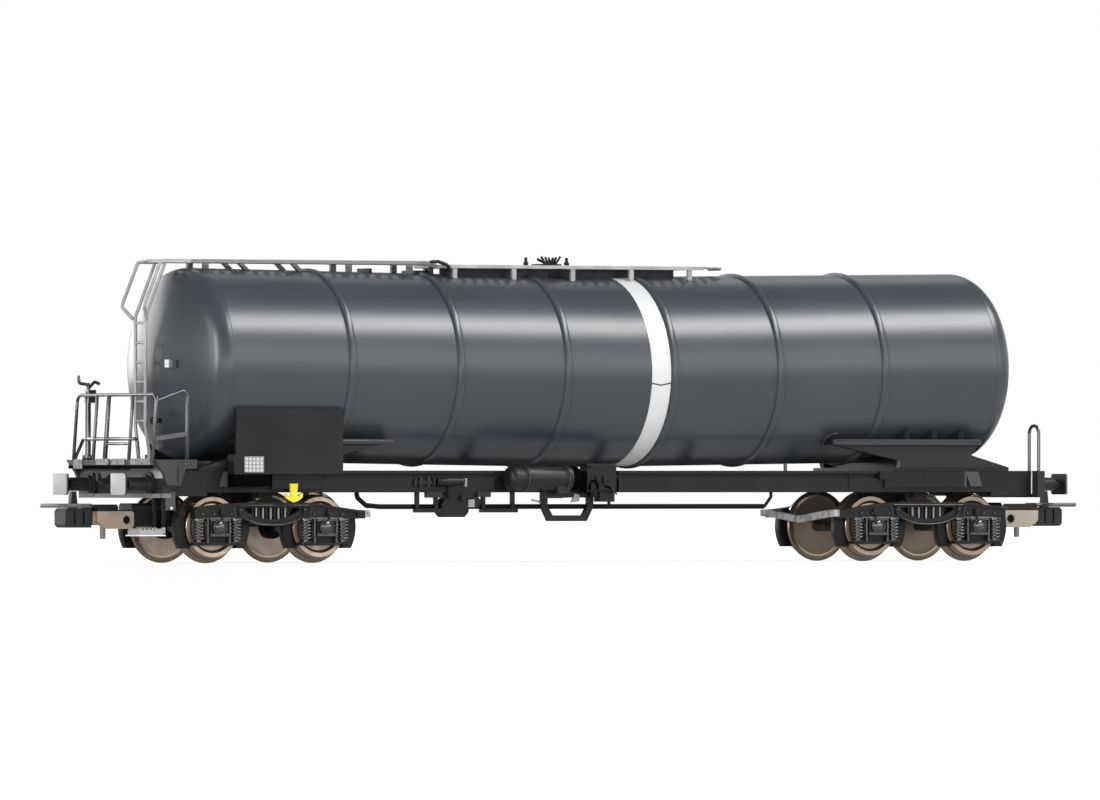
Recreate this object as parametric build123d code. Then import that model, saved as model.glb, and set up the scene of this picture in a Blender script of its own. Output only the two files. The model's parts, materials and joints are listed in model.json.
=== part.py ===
"""Four-axle railway tank car, a scale model that runs on rails.

Millimetres. +X runs along the car, with the end platform at -X, -Y is the side with the brake gear
and +Z is up. The origin is at the middle of the car's length, at the level of the wheel flanges'
lowest points, on which the car stands.
"""
import os
from math import asin, cos, hypot, radians, sin, sqrt

from build123d import *

# Wheels and axles
TREAD_R = 5.2
FLANGE_H = 0.9
WHEEL_W = 2.8
FLANGE_W = 0.9
BACK_TO_BACK = 14.4
AXLE_R = 1.0
JOURNAL_R = 0.6
RUN_CLEARANCE = 0.05
AXLE_BASE = 20.7

# Tank
TANK_R = 16.25
TANK_MID_X = 1.0
TANK_HALF = 76.0
TANK_RISE = 1.65
TANK_DROP = 1.05
HEAD_CROWN_R = 30.0
HEAD_KNUCKLE_R = 4.0
RING_W = 1.35
RING_PROUD = 0.4
RING_OFFSETS = (10.6, 31.8, 53.0)
SEAT_GAP = 0.03

# Underframe
END_SPACE = 11.7
BOGIE_SETBACK = 22.45
SILL_TOP_Z = 15.6
SILL_H = 3.7
SILL_Y_IN = 10.9
SILL_Y_OUT = 12.4
SILL_FLANGE_T = 0.6
SILL_GROOVE_H = 0.7
SILL_GROOVE_DEPTH = 0.6
HEADSTOCK_T = 1.5
HEADSTOCK_HALF_W = 14.5
HEADSTOCK_H = 4.6
SPINE_HALF_W = 2.6
SPINE_H = 2.4
PIN_R = 1.6
BOLSTER_HALF_L = 3.2
PLATE_GAP = 0.15

# Buffers
BUFFER_Y = 9.95
BUFFER_Z = 13.3
BUFFER_L = 6.4
BUFFER_W = 4.6
BUFFER_H = 3.6
BUFFER_T = 0.7
BUFFER_CROWN_R = 18.0
SLEEVE_R = 1.15
SLEEVE_L = 4.6
SHANK_R = 0.75

# Bogies
SIDE_Y_IN = 10.4
SIDE_Y_OUT = 12.2
BOX_Y_OUT = 12.5
BOGIE_TOP_Z = 10.2
SPRING_TOP_Z = 7.5
SPRING_SEAT_Z = 3.6
SPRING_R = 1.05
SPRING_SPREAD = 3.6
SHOE_GAP = 0.35

# Couplers
COUPLER_SETBACK = 8.7
COUPLER_PIN_R = 0.8
COUPLER_REACH = 22.0
COUPLER_Z = 8.15
LOOP_HALF_W = 4.0
LOOP_R = 0.35

# End platform, ladder and roof walkways
DECK_TOP_Z = 17.4
DECK_T = 1.5
DECK_OVERHANG = 2.0
DECK_L = 8.1
DECK_HALF_W = 14.0
RAIL_H = 10.9
RAIL_RISE = 1.0
RAIL_R = 0.3
RAIL_LEAN = 0.8
LADDER_SETBACK = 3.8
LADDER_HALF_W = 1.7
LADDER_R = 0.3
LADDER_BEND_RISE = 8.0
RUNG_PITCH = 3.3
WALK_RISE = 1.45
WALK_T = 0.65
WALK_HALF_W = 3.4
WALK_L = 53.0
PLATFORM_RISE = 1.9
PLATFORM_T = 0.6
PLATFORM_HALF_L = 28.6
PLATFORM_HALF_W = 5.2
GRATING_PITCH = 2.2
GRATING_BAR = 0.7

# Places worked out from the sizes above
AXLE_Z = TREAD_R + FLANGE_H
FLANGE_R = TREAD_R + FLANGE_H
WHEEL_Y_IN = BACK_TO_BACK / 2
WHEEL_Y_OUT = WHEEL_Y_IN + WHEEL_W
CENTRE_PLATE_Z = BOGIE_TOP_Z + PLATE_GAP
SILL_BOTTOM_Z = SILL_TOP_Z - SILL_H
SILL_WEB_Y = SILL_Y_OUT - SILL_GROOVE_DEPTH - 0.4
TANK_END_Z = SILL_TOP_Z + TANK_RISE + TANK_R
TANK_MID_Z = TANK_END_Z - TANK_DROP
TANK_END_X = TANK_MID_X + TANK_HALF
FRAME_HALF_L = TANK_HALF + END_SPACE
PIVOT_X = FRAME_HALF_L - BOGIE_SETBACK
HEADSTOCK_IN_X = FRAME_HALF_L - HEADSTOCK_T
BUFFER_REACH = FRAME_HALF_L + BUFFER_L
COUPLER_PIVOT_X = FRAME_HALF_L - COUPLER_SETBACK
COUPLER_TIP_X = COUPLER_PIVOT_X + COUPLER_REACH
DECK_OUT_X = FRAME_HALF_L + DECK_OVERHANG
DECK_IN_X = DECK_OUT_X - DECK_L
LADDER_X = FRAME_HALF_L - LADDER_SETBACK
LADDER_BEND_Z = TANK_END_Z + LADDER_BEND_RISE
RAIL_TOP_Z = DECK_TOP_Z + RAIL_H
WALK_TOP_Z = TANK_END_Z + TANK_R + WALK_RISE
PLATFORM_TOP_Z = TANK_MID_Z + TANK_R + PLATFORM_RISE

ENDS = {"a": -1, "b": 1}
SIDES = {"near": -1, "far": 1}

os.makedirs("parts", exist_ok=True)


def save(name, *solids):
    """Write one node; more than one solid stays as solids that don't touch."""
    shape = solids[0] if len(solids) == 1 else Compound(children=list(solids))
    export_step(shape, f"parts/{name}.step")


def block(x, y, z):
    """A box between two limits along each axis."""
    size = (abs(x[1] - x[0]), abs(y[1] - y[0]), abs(z[1] - z[0]))
    return Pos((x[0] + x[1]) / 2, (y[0] + y[1]) / 2, (z[0] + z[1]) / 2) * Box(*size)


def plate_xz(points, y):
    """A plate with its outline in X and Z and its thickness between two Y values."""
    face = make_face(Plane.XZ * Polyline(*points, close=True))
    return Pos(0, min(y), 0) * extrude(face, amount=abs(y[1] - y[0]), dir=(0, 1, 0))


def plate_yz(points, x):
    """A plate with its outline in Y and Z and its thickness between two X values."""
    face = make_face(Plane.YZ * Polyline(*points, close=True))
    return Pos(min(x), 0, 0) * extrude(face, amount=abs(x[1] - x[0]), dir=(1, 0, 0))


def rod(start, end, radius):
    """A round bar from one point to another."""
    line = Vector(*end) - Vector(*start)
    return Plane(origin=start, z_dir=line) * Cylinder(
        radius, line.length, align=(Align.CENTER, Align.CENTER, Align.MIN))


def bent_bar(points, bend, radius):
    """A round bar along straight runs that are joined by arcs of one bend radius."""
    path = FilletPolyline(*points, radius=bend)
    section = Plane(origin=path @ 0, z_dir=path % 0) * Circle(radius)
    return sweep(section, path=path)


def disc_y(x, z, radius, y):
    """A short cylinder along Y between two Y values."""
    return rod((x, min(y), z), (x, max(y), z), radius)


def mirrored(shape):
    """The shape, mirrored to the other side of the car."""
    return mirror(shape, about=Plane.XZ)


def moved_to_end(end, shape):
    """A piece that is drawn at the +X end, moved to its own end."""
    return shape if end > 0 else mirror(shape, about=Plane.YZ)


# Tank: two halves of a cylinder that fall towards the middle, with hoops and dished heads

def tank_axis():
    """The half axis towards +X, from the middle of the tank."""
    return Plane(
        origin=(TANK_MID_X, 0, TANK_MID_Z),
        x_dir=(0, 1, 0),
        z_dir=(TANK_HALF, 0, TANK_DROP))


def tank_half():
    """The barrel half towards +X, with its hoops."""
    slant = hypot(TANK_HALF, TANK_DROP)
    overlap = 2.0
    shell = tank_axis() * Pos(0, 0, (slant - overlap) / 2) * Cylinder(TANK_R, slant + overlap)
    for offset in RING_OFFSETS:
        hoop = Cylinder(TANK_R + RING_PROUD, RING_W)
        hoop = fillet(hoop.edges().filter_by(GeomType.CIRCLE), RING_PROUD * 0.6)
        shell += tank_axis() * Pos(0, 0, offset) * hoop
    half_space = block((TANK_MID_X, TANK_MID_X + 2 * TANK_HALF), (-2 * TANK_R, 2 * TANK_R), (0, 4 * TANK_R))
    return shell & half_space


def about_tank_middle(shape):
    """The shape mirrored to the other end of the tank."""
    return mirror(shape, about=Plane.YZ.offset(TANK_MID_X))


def tank_head():
    """The dished head towards +X: crown and knuckle are arcs of one revolved outline."""
    knuckle_y = TANK_R - HEAD_KNUCKLE_R
    reach = HEAD_CROWN_R - HEAD_KNUCKLE_R
    depth = HEAD_CROWN_R - sqrt(reach**2 - knuckle_y**2)
    turn = asin(knuckle_y / reach)
    tangent = (HEAD_CROWN_R * sin(turn), depth - HEAD_CROWN_R + HEAD_CROWN_R * cos(turn))
    crown_mid = (HEAD_CROWN_R * sin(turn / 2), depth - HEAD_CROWN_R + HEAD_CROWN_R * cos(turn / 2))
    half_turn = (radians(90) + turn) / 2
    knuckle_mid = (knuckle_y + HEAD_KNUCKLE_R * sin(half_turn), HEAD_KNUCKLE_R * cos(half_turn))
    outline = Polyline((0, depth), (0, 0), (TANK_R, 0))
    outline += ThreePointArc((TANK_R, 0), knuckle_mid, tangent)
    outline += ThreePointArc(tangent, crown_mid, (0, depth))
    dish = revolve(make_face(Plane.XZ * outline), axis=Axis.Z)
    return tank_axis() * Pos(0, 0, hypot(TANK_HALF, TANK_DROP)) * dish


def tank_room():
    """The tank's space with a hair of clearance, for cutting what is seated on the tank."""
    half = tank_axis() * Pos(0, 0, TANK_HALF / 2) * Cylinder(TANK_R + SEAT_GAP, TANK_HALF + 4)
    for offset in RING_OFFSETS:
        half += tank_axis() * Pos(0, 0, offset) * Cylinder(TANK_R + RING_PROUD + SEAT_GAP, RING_W + 2 * SEAT_GAP)
    return half + about_tank_middle(half)


barrel_half = tank_half()
barrel = barrel_half + about_tank_middle(barrel_half)
seat_room = tank_room()
head_b = tank_head()
save("tank_barrel", barrel)
save("tank_head_a", about_tank_middle(head_b))
save("tank_head_b", head_b)


# Saddles: flanged webs and cross plates that carry the tank's ends on the frame

SADDLE_WEB_T = 0.9
SADDLE_BASE_T = 0.5
SADDLE_FLANGE_Z = 20.1
SADDLE_FLANGE_T = 0.9
SADDLE_FLANGE_L = 30.2
SADDLE_FLANGE_Y = (8.5, 14.0)
SADDLE_FLANGE_END = 2.0
SADDLE_TOE = 4.6
SADDLE_RIB_Z = 22.5
SADDLE_RIB_T = 1.0
SADDLE_RIB_BACK = (5.5, 11.0, 16.5)


def saddle():
    """The saddle towards +X, drawn from the barrel's end: longer flanges than webs, on a base plate."""
    base_z = SILL_TOP_Z + SADDLE_BASE_T
    flange_x = TANK_END_X - SADDLE_FLANGE_END
    tip_x = flange_x - SADDLE_FLANGE_L
    toe_x = TANK_END_X + SADDLE_TOE
    heel_x = TANK_END_X - 18.0
    web = [(tip_x + 0.8, SADDLE_FLANGE_Z), (flange_x, SADDLE_FLANGE_Z), (flange_x - 1.4, SILL_TOP_Z + 2.7), (toe_x, base_z),
           (heel_x, base_z), (heel_x - 0.4, SILL_TOP_Z + 1.8)]
    shape = block((heel_x - 1.8, toe_x), (-SILL_Y_OUT, SILL_Y_OUT), (SILL_TOP_Z, base_z))
    for side in SIDES.values():
        shape += plate_xz(web, (side * SILL_Y_OUT, side * (SILL_Y_OUT - SADDLE_WEB_T)))
        flange = block((tip_x, flange_x), (side * SADDLE_FLANGE_Y[0], side * SADDLE_FLANGE_Y[1]),
                       (SADDLE_FLANGE_Z, SADDLE_FLANGE_Z + SADDLE_FLANGE_T))
        outer = flange.edges().filter_by(Axis.X).sort_by(Axis.Z)[-2:].sort_by(Axis.Y)
        shape += fillet(outer[-1 if side > 0 else 0], SADDLE_FLANGE_T * 0.6)
    cradle = [(-SILL_Y_OUT, base_z), (SILL_Y_OUT, base_z), (13.2, SADDLE_RIB_Z), (-13.2, SADDLE_RIB_Z)]
    for back in SADDLE_RIB_BACK:
        x = TANK_END_X - back
        shape += plate_yz(cradle, (x - SADDLE_RIB_T / 2, x + SADDLE_RIB_T / 2))
    return shape - seat_room


saddle_b = saddle()
save("saddle_b", saddle_b)
save("saddle_a", about_tank_middle(saddle_b))


# Underframe: side sills, headstocks with buffer sleeves, spine, cross members and bolsters

GEAR_X = (-22.0, 2.6)
SILL_RECESS_Y = 11.7
PANEL_T = 0.4
PANEL_BACK = (4.3, 21.0)
PANEL_Z = (12.7, SILL_TOP_Z - 0.15)
CHUTE_L = 3.2
END_DROP = 0.65
END_PIECE_L = 8.2


def side_sill(side):
    """A box section with a groove under its top flange, deeper at the ends, set back at the brake gear."""
    flange_z = SILL_TOP_Z - SILL_FLANGE_T
    groove_y = SILL_Y_OUT - SILL_GROOVE_DEPTH
    shape = block((-HEADSTOCK_IN_X, HEADSTOCK_IN_X), (SILL_Y_IN, SILL_Y_OUT), (SILL_BOTTOM_Z, SILL_TOP_Z))
    groove_x = TANK_END_X - PANEL_BACK[0] - 1.0
    shape -= block((-groove_x, groove_x), (groove_y, SILL_Y_OUT + 1), (flange_z - SILL_GROOVE_H, flange_z))
    shape -= block((-HEADSTOCK_IN_X, HEADSTOCK_IN_X), (SILL_Y_IN - 1, SILL_WEB_Y),
                   (SILL_BOTTOM_Z - 1, flange_z - 0.2))
    for end in ENDS.values():
        end_x = (end * HEADSTOCK_IN_X, end * (HEADSTOCK_IN_X - END_PIECE_L))
        shape += block(end_x, (SILL_Y_IN, SILL_Y_OUT), (SILL_BOTTOM_Z - END_DROP, SILL_TOP_Z))
        panel_x = (end * (TANK_END_X - PANEL_BACK[0]), end * (TANK_END_X - PANEL_BACK[1]))
        shape += block(panel_x, (SILL_Y_OUT, SILL_Y_OUT + PANEL_T), PANEL_Z)
        chute_x = end * (TANK_END_X - PANEL_BACK[0])
        chute = [(chute_x - end * 0.3, PANEL_Z[1]), (chute_x + end * (CHUTE_L - 0.9), PANEL_Z[1]),
                 (chute_x + end * CHUTE_L, PANEL_Z[0] + 0.2), (chute_x + end * 0.9, PANEL_Z[0] + 0.2)]
        shape += plate_xz(chute, (SILL_Y_OUT, SILL_Y_OUT + 0.5))
    if side < 0:
        shape = mirrored(shape)
        shape -= block(GEAR_X, (-SILL_RECESS_Y, -SILL_Y_OUT - 1), (0, SILL_TOP_Z + 1))
    return shape


HOOK_Z = 14.0
HOOK_L = 4.6


def draw_hook():
    """The hook in the middle of the headstock, drawn towards +X: a shank with its curled nose."""
    x = FRAME_HALF_L
    nose = [(x, HOOK_Z - 0.5), (x + HOOK_L - 1.2, HOOK_Z - 0.6), (x + HOOK_L, HOOK_Z - 0.1), (x + HOOK_L, HOOK_Z + 1.0),
            (x + HOOK_L - 0.5, HOOK_Z + 1.3), (x + HOOK_L - 0.8, HOOK_Z + 0.3), (x + HOOK_L - 1.6, HOOK_Z + 0.3),
            (x + HOOK_L - 2.2, HOOK_Z + 1.0), (x + HOOK_L - 2.8, HOOK_Z + 0.5), (x, HOOK_Z + 0.5)]
    boss = block((x, x + 0.5), (-1.1, 1.1), (HOOK_Z - 1.1, HOOK_Z + 1.1))
    return plate_xz(nose, (-0.35, 0.35)) + boss


def buffer_base(side):
    """The eight-cornered plate under one buffer's sleeve, drawn at the +X end."""
    half, corner = 1.95, 1.0
    y, z = side * BUFFER_Y, BUFFER_Z
    outline = []
    for turn in ((1, 1), (1, -1), (-1, -1), (-1, 1)):
        near = (y + turn[0] * half, z + turn[1] * corner)
        far = (y + turn[0] * corner, z + turn[1] * half)
        outline += [near, far] if turn[0] * turn[1] < 0 else [far, near]
    return plate_yz(outline, (FRAME_HALF_L, FRAME_HALF_L + 0.5))


def headstock(end):
    """The cross beam at one end, with buffer sleeves, draw hook and a lip along its lower edge."""
    low = SILL_TOP_Z - HEADSTOCK_H
    shape = block((HEADSTOCK_IN_X, FRAME_HALF_L), (-HEADSTOCK_HALF_W, HEADSTOCK_HALF_W), (low, SILL_TOP_Z))
    shape += block((HEADSTOCK_IN_X, FRAME_HALF_L + 0.3), (-HEADSTOCK_HALF_W + 0.6, HEADSTOCK_HALF_W - 0.6),
                   (low, low + 0.7))
    for side in SIDES.values():
        y = side * BUFFER_Y
        bore_x = (FRAME_HALF_L + 1.0, FRAME_HALF_L + SLEEVE_L + 1)
        shape += buffer_base(side)
        shape += rod((FRAME_HALF_L, y, BUFFER_Z), (FRAME_HALF_L + SLEEVE_L, y, BUFFER_Z), SLEEVE_R)
        shape += rod((FRAME_HALF_L, y, BUFFER_Z), (FRAME_HALF_L + 1.1, y, BUFFER_Z), SLEEVE_R + 0.35)
        shape -= rod((bore_x[0], y, BUFFER_Z), (bore_x[1], y, BUFFER_Z), SHANK_R)
    return moved_to_end(end, shape + draw_hook())


def buffer_heads(end):
    """Rectangular heads with a crowned face on round shanks, one at each side."""
    solids = []
    face_x = BUFFER_REACH
    crown = Pos(face_x - BUFFER_CROWN_R, 0, 0) * Cylinder(BUFFER_CROWN_R, 4 * BUFFER_H)
    for side in SIDES.values():
        y = side * BUFFER_Y
        head = block((face_x - BUFFER_T, face_x), (y - BUFFER_W / 2, y + BUFFER_W / 2),
                     (BUFFER_Z - BUFFER_H / 2, BUFFER_Z + BUFFER_H / 2))
        head = fillet(head.edges().filter_by(Axis.X), 0.5) & (Pos(0, y, BUFFER_Z) * crown)
        shank = rod((FRAME_HALF_L + 1.0, y, BUFFER_Z), (face_x - BUFFER_T, y, BUFFER_Z), SHANK_R)
        solids.append(moved_to_end(end, head + shank))
    return solids


def body_bolster(end):
    """The cross beam over a bogie, with its centre boss and the pin that the bogie turns on."""
    x = end * PIVOT_X
    beam_z = SILL_TOP_Z - SPINE_H
    pin_z = CENTRE_PLATE_Z - 3.15
    beam = block((x - BOLSTER_HALF_L, x + BOLSTER_HALF_L), (-SILL_Y_IN, SILL_Y_IN), (beam_z, SILL_TOP_Z))
    boss = rod((x, 0, CENTRE_PLATE_Z), (x, 0, beam_z), 2 * PIN_R)
    pin = rod((x, 0, pin_z), (x, 0, CENTRE_PLATE_Z), PIN_R)
    pin_head = rod((x, 0, pin_z - 0.7), (x, 0, pin_z), PIN_R + 0.7)
    for y in (-8.6, 8.6):
        beam += block((x - 1.3, x + 1.3), (y - 1.0, y + 1.0), (CENTRE_PLATE_Z + 0.6, beam_z))
    return beam + boss + pin + pin_head


for side_name, side in SIDES.items():
    save(f"side_sill_{side_name}", side_sill(side))
for end_name, end in ENDS.items():
    save(f"headstock_{end_name}", headstock(end))
    save(f"buffers_{end_name}", *buffer_heads(end))
    save(f"bolster_{end_name}", body_bolster(end))

SPINE_X = PIVOT_X - BOLSTER_HALF_L
spine = block((-SPINE_X, SPINE_X), (-SPINE_HALF_W, SPINE_HALF_W), (SILL_TOP_Z - SPINE_H, SILL_TOP_Z - 0.3))
save("centre_sill", spine)

CROSS_X = (-44.0, -22.0, 4.0, 22.0, 44.0)
cross_members = []
for x in CROSS_X:
    for side in SIDES.values():
        y = (side * SPINE_HALF_W, side * SILL_WEB_Y)
        cross_members.append(block((x - 0.8, x + 0.8), y, (SILL_TOP_Z - 2.0, SILL_TOP_Z - SILL_FLANGE_T - 0.2)))
save("cross_members", *cross_members)


DRAW_BOX_Z = SILL_TOP_Z - 3.4


def draw_box(end):
    """The box behind the headstock, with the pin that the coupler swings on."""
    x = COUPLER_PIVOT_X
    box = block((x - 4.5, HEADSTOCK_IN_X), (-3.4, 3.4), (DRAW_BOX_Z, SILL_TOP_Z - 0.3))
    boss = rod((x, 0, COUPLER_Z + 1.5), (x, 0, DRAW_BOX_Z), 2.0)
    pin = rod((x, 0, COUPLER_Z - 1.5), (x, 0, COUPLER_Z + 1.5), COUPLER_PIN_R)
    return moved_to_end(end, box + boss + pin)


for end_name, end in ENDS.items():
    save(f"draw_box_{end_name}", draw_box(end))


# Brake gear under the frame on the near side

RESERVOIR_X = (-20.6, -6.2)
RESERVOIR_R = 2.1
RESERVOIR_Z = 14.3
STRAP_T = 0.15
STRAP_X = (-17.4, -9.4)
STRAP_W = 0.8


def air_reservoir():
    """A lying cylinder with domed ends, straps and drain fitting, held against the sill."""
    y = -SILL_RECESS_Y - RESERVOIR_R - STRAP_T - SEAT_GAP
    drum = Rot(0, 90, 0) * Cylinder(RESERVOIR_R, RESERVOIR_X[1] - RESERVOIR_X[0])
    drum = fillet(drum.edges().filter_by(GeomType.CIRCLE), RESERVOIR_R * 0.6)
    shape = Pos(sum(RESERVOIR_X) / 2, y, RESERVOIR_Z) * drum
    for x in STRAP_X:
        span_x = (x - STRAP_W / 2, x + STRAP_W / 2)
        shape += rod((span_x[0], y, RESERVOIR_Z), (span_x[1], y, RESERVOIR_Z), RESERVOIR_R + STRAP_T)
        shape += block(span_x, (y + RESERVOIR_R - 1.4, -SILL_RECESS_Y), (RESERVOIR_Z - 1.8, SILL_TOP_Z - 0.2))
    shape += block((-11.4, -9.0), (y - 1.6, y), (RESERVOIR_Z - 2.6, RESERVOIR_Z - 1.2))
    return shape


save("air_reservoir", air_reservoir())

BOX_X = (-4.7, 1.1)
BOX_Z = (12.0, 16.8)
BOX_Y = 14.2


def outlet_box():
    """The valve cabinet: a box with a stepped foot, two handles and a nozzle."""
    shape = block(BOX_X, (-SILL_RECESS_Y, -BOX_Y), BOX_Z)
    shape = chamfer(shape.edges().filter_by(Axis.X).sort_by(Axis.Y)[:2], 0.35)
    shape += block((BOX_X[1] - 3.0, BOX_X[1]), (-SILL_RECESS_Y, -BOX_Y + 0.6), (BOX_Z[0] - 1.7, BOX_Z[0]))
    for x in (BOX_X[0] + 1.9, BOX_X[0] + 3.3):
        shape += block((x - 0.25, x + 0.25), (-BOX_Y - 0.35, -BOX_Y), (BOX_Z[0] + 1.4, BOX_Z[0] + 2.6))
    shape += rod((BOX_X[0] + 2.0, -BOX_Y + 1.2, BOX_Z[0] - 0.9), (BOX_X[0] + 2.0, -BOX_Y + 1.2, BOX_Z[0]), 0.7)
    return shape


save("outlet_box", outlet_box())

GUARD_TOP_Z = SILL_BOTTOM_Z
guard = plate_xz([(-12.6, 9.5), (-11.3, 7.0), (-3.6, 7.0), (-2.3, 9.5), (-2.3, GUARD_TOP_Z), (-12.6, GUARD_TOP_Z)],
                 (-12.3, -11.5))
guard -= plate_xz([(-11.4, 9.6), (-10.4, 8.0), (-4.5, 8.0), (-3.5, 9.6), (-3.5, 11.0), (-11.4, 11.0)], (-12.4, -11.4))
save("outlet_guard", guard)

VALVE_X = (-32.4, -27.2)
VALVE_Y = (-12.6, -9.8)


def brake_valve():
    """The distributor: a tub with cut corners under a bracket, a round cover, a cylinder and a lever."""
    x0, x1 = VALVE_X
    tub = [(x0, 8.6), (x0 + 0.8, 7.7), (x1 - 0.8, 7.7), (x1, 8.6), (x1, 9.9), (x1 - 0.6, 10.8), (x0 + 0.6, 10.8), (x0, 9.9)]
    shape = plate_xz(tub, VALVE_Y)
    shape += block((x0 + 0.8, x1 + 1.6), (VALVE_Y[0] + 0.2, VALVE_Y[1] - 0.4), (10.8, SILL_BOTTOM_Z))
    shape += disc_y(x1 + 1.4, 10.2, 1.0, VALVE_Y)
    shape += disc_y(x1 - 1.2, 11.0, 0.55, (VALVE_Y[0] - 0.4, VALVE_Y[0] + 0.3))
    for x in (x0 + 1.2, x0 + 2.2):
        shape += rod((x, VALVE_Y[0] + 0.4, 10.6), (x, VALVE_Y[0] + 0.4, SILL_BOTTOM_Z), 0.25)
    shape += rod((x0 - 1.2, -SILL_Y_OUT - 0.2, 13.6), (x0 + 1.6, -SILL_Y_OUT - 0.2, 13.6), 0.75)
    shape += rod((x0 + 1.2, -SILL_Y_OUT - 0.2, 10.9), (x0 + 1.2, -SILL_Y_OUT - 0.2, 13.6), 0.25)
    return shape - side_sill(-1)


save("brake_valve", brake_valve())

FOOT_Z = 8.5
FOOT_Y = (-13.2, -11.2)
FOOT_SPANS = ((-37.4, -32.9), (-24.4, -17.8))
foot_rails = []
for x0, x1 in FOOT_SPANS:
    foot = block((x0, x1), FOOT_Y, (FOOT_Z, FOOT_Z + 0.7))
    foot -= block((x0 + 0.3, x1 - 0.3), (FOOT_Y[0] + 0.3, FOOT_Y[1] - 0.3), (FOOT_Z + 0.35, FOOT_Z + 2))
    for x in (x0 + 0.4, x1 - 0.4):
        foot += block((x - 0.35, x + 0.35), (-12.2, -11.6), (FOOT_Z + 0.35, SILL_BOTTOM_Z))
    foot_rails.append(foot)
save("foot_rails", *foot_rails)

ROD_R = 0.28
ROD_Y = -SILL_Y_IN - 0.3
ROD_Z = SILL_BOTTOM_Z - 2.4
ROD_START_X = -PIVOT_X + 16.85
ROD_END_X = 33.9
rod_left = bent_bar([(ROD_START_X, ROD_Y, SILL_BOTTOM_Z), (ROD_START_X, ROD_Y, ROD_Z + 1.5),
                     (ROD_START_X + 2.0, ROD_Y, ROD_Z), (VALVE_X[0] - 1.2, ROD_Y, ROD_Z)], 0.6, ROD_R)
rod_right = bent_bar([(BOX_X[1] + 0.3, ROD_Y, SILL_BOTTOM_Z), (BOX_X[1] + 0.3, ROD_Y, ROD_Z),
                      (ROD_END_X - 1.3, ROD_Y, ROD_Z), (ROD_END_X, ROD_Y, ROD_Z + 1.6),
                      (ROD_END_X, ROD_Y, SILL_BOTTOM_Z)], 0.4, ROD_R)
save("brake_rods", rod_left, rod_right)


# End platform, railing, brake column, ladder and hand hoops at the -X end

SIDE_PLATE_T = 0.8


def end_platform():
    """The deck with its edge beam, two tapered side plates and the wall it stands on over the headstock."""
    low = DECK_TOP_Z - DECK_T
    shape = block((-DECK_OUT_X, -DECK_IN_X), (-DECK_HALF_W, DECK_HALF_W), (low, DECK_TOP_Z))
    shape -= block((-DECK_OUT_X + 0.6, -DECK_IN_X - 0.6), (-DECK_HALF_W + 0.8, DECK_HALF_W - 0.8), (low - 1, low + 0.5))
    drop = DECK_TOP_Z - 4.4
    plate = [(-DECK_IN_X, DECK_TOP_Z), (-DECK_OUT_X, DECK_TOP_Z), (-DECK_OUT_X + 1.6, drop + 2.2),
             (-DECK_OUT_X + 2.4, drop + 0.1), (-HEADSTOCK_IN_X + 1.4, drop), (-HEADSTOCK_IN_X + 2.4, drop + 2.8),
             (-DECK_IN_X, drop + 2.9)]
    for side in SIDES.values():
        sheet = plate_xz(plate, (side * HEADSTOCK_HALF_W, side * (HEADSTOCK_HALF_W + SIDE_PLATE_T)))
        rib = block((-HEADSTOCK_IN_X + 0.9, -HEADSTOCK_IN_X + 1.3),
                    (side * (HEADSTOCK_HALF_W + SIDE_PLATE_T), side * (HEADSTOCK_HALF_W + SIDE_PLATE_T + 0.2)),
                    (drop + 0.3, DECK_TOP_Z - 1.0))
        shape += sheet + rib
        shape += block((-DECK_OUT_X, -DECK_IN_X), (side * DECK_HALF_W, side * HEADSTOCK_HALF_W), (low, DECK_TOP_Z))
    return shape + block((-FRAME_HALF_L + 0.2, -HEADSTOCK_IN_X), (-DECK_HALF_W, DECK_HALF_W), (SILL_TOP_Z, low + 0.5))


save("end_platform", end_platform())

RAIL_X = DECK_OUT_X - 0.5
RAIL_TOP_X = RAIL_X - RAIL_LEAN
RAIL_IN_X = RAIL_X - 6.7
RAIL_Y = 13.6
KNEE_Z = DECK_TOP_Z + 3.5
STRAP_H = 0.75
POST_TABLE = ((-5.4, 1.0), (2.8, 1.35), (6.8, 1.0))
KNEE_END_Y = 9.4


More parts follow.
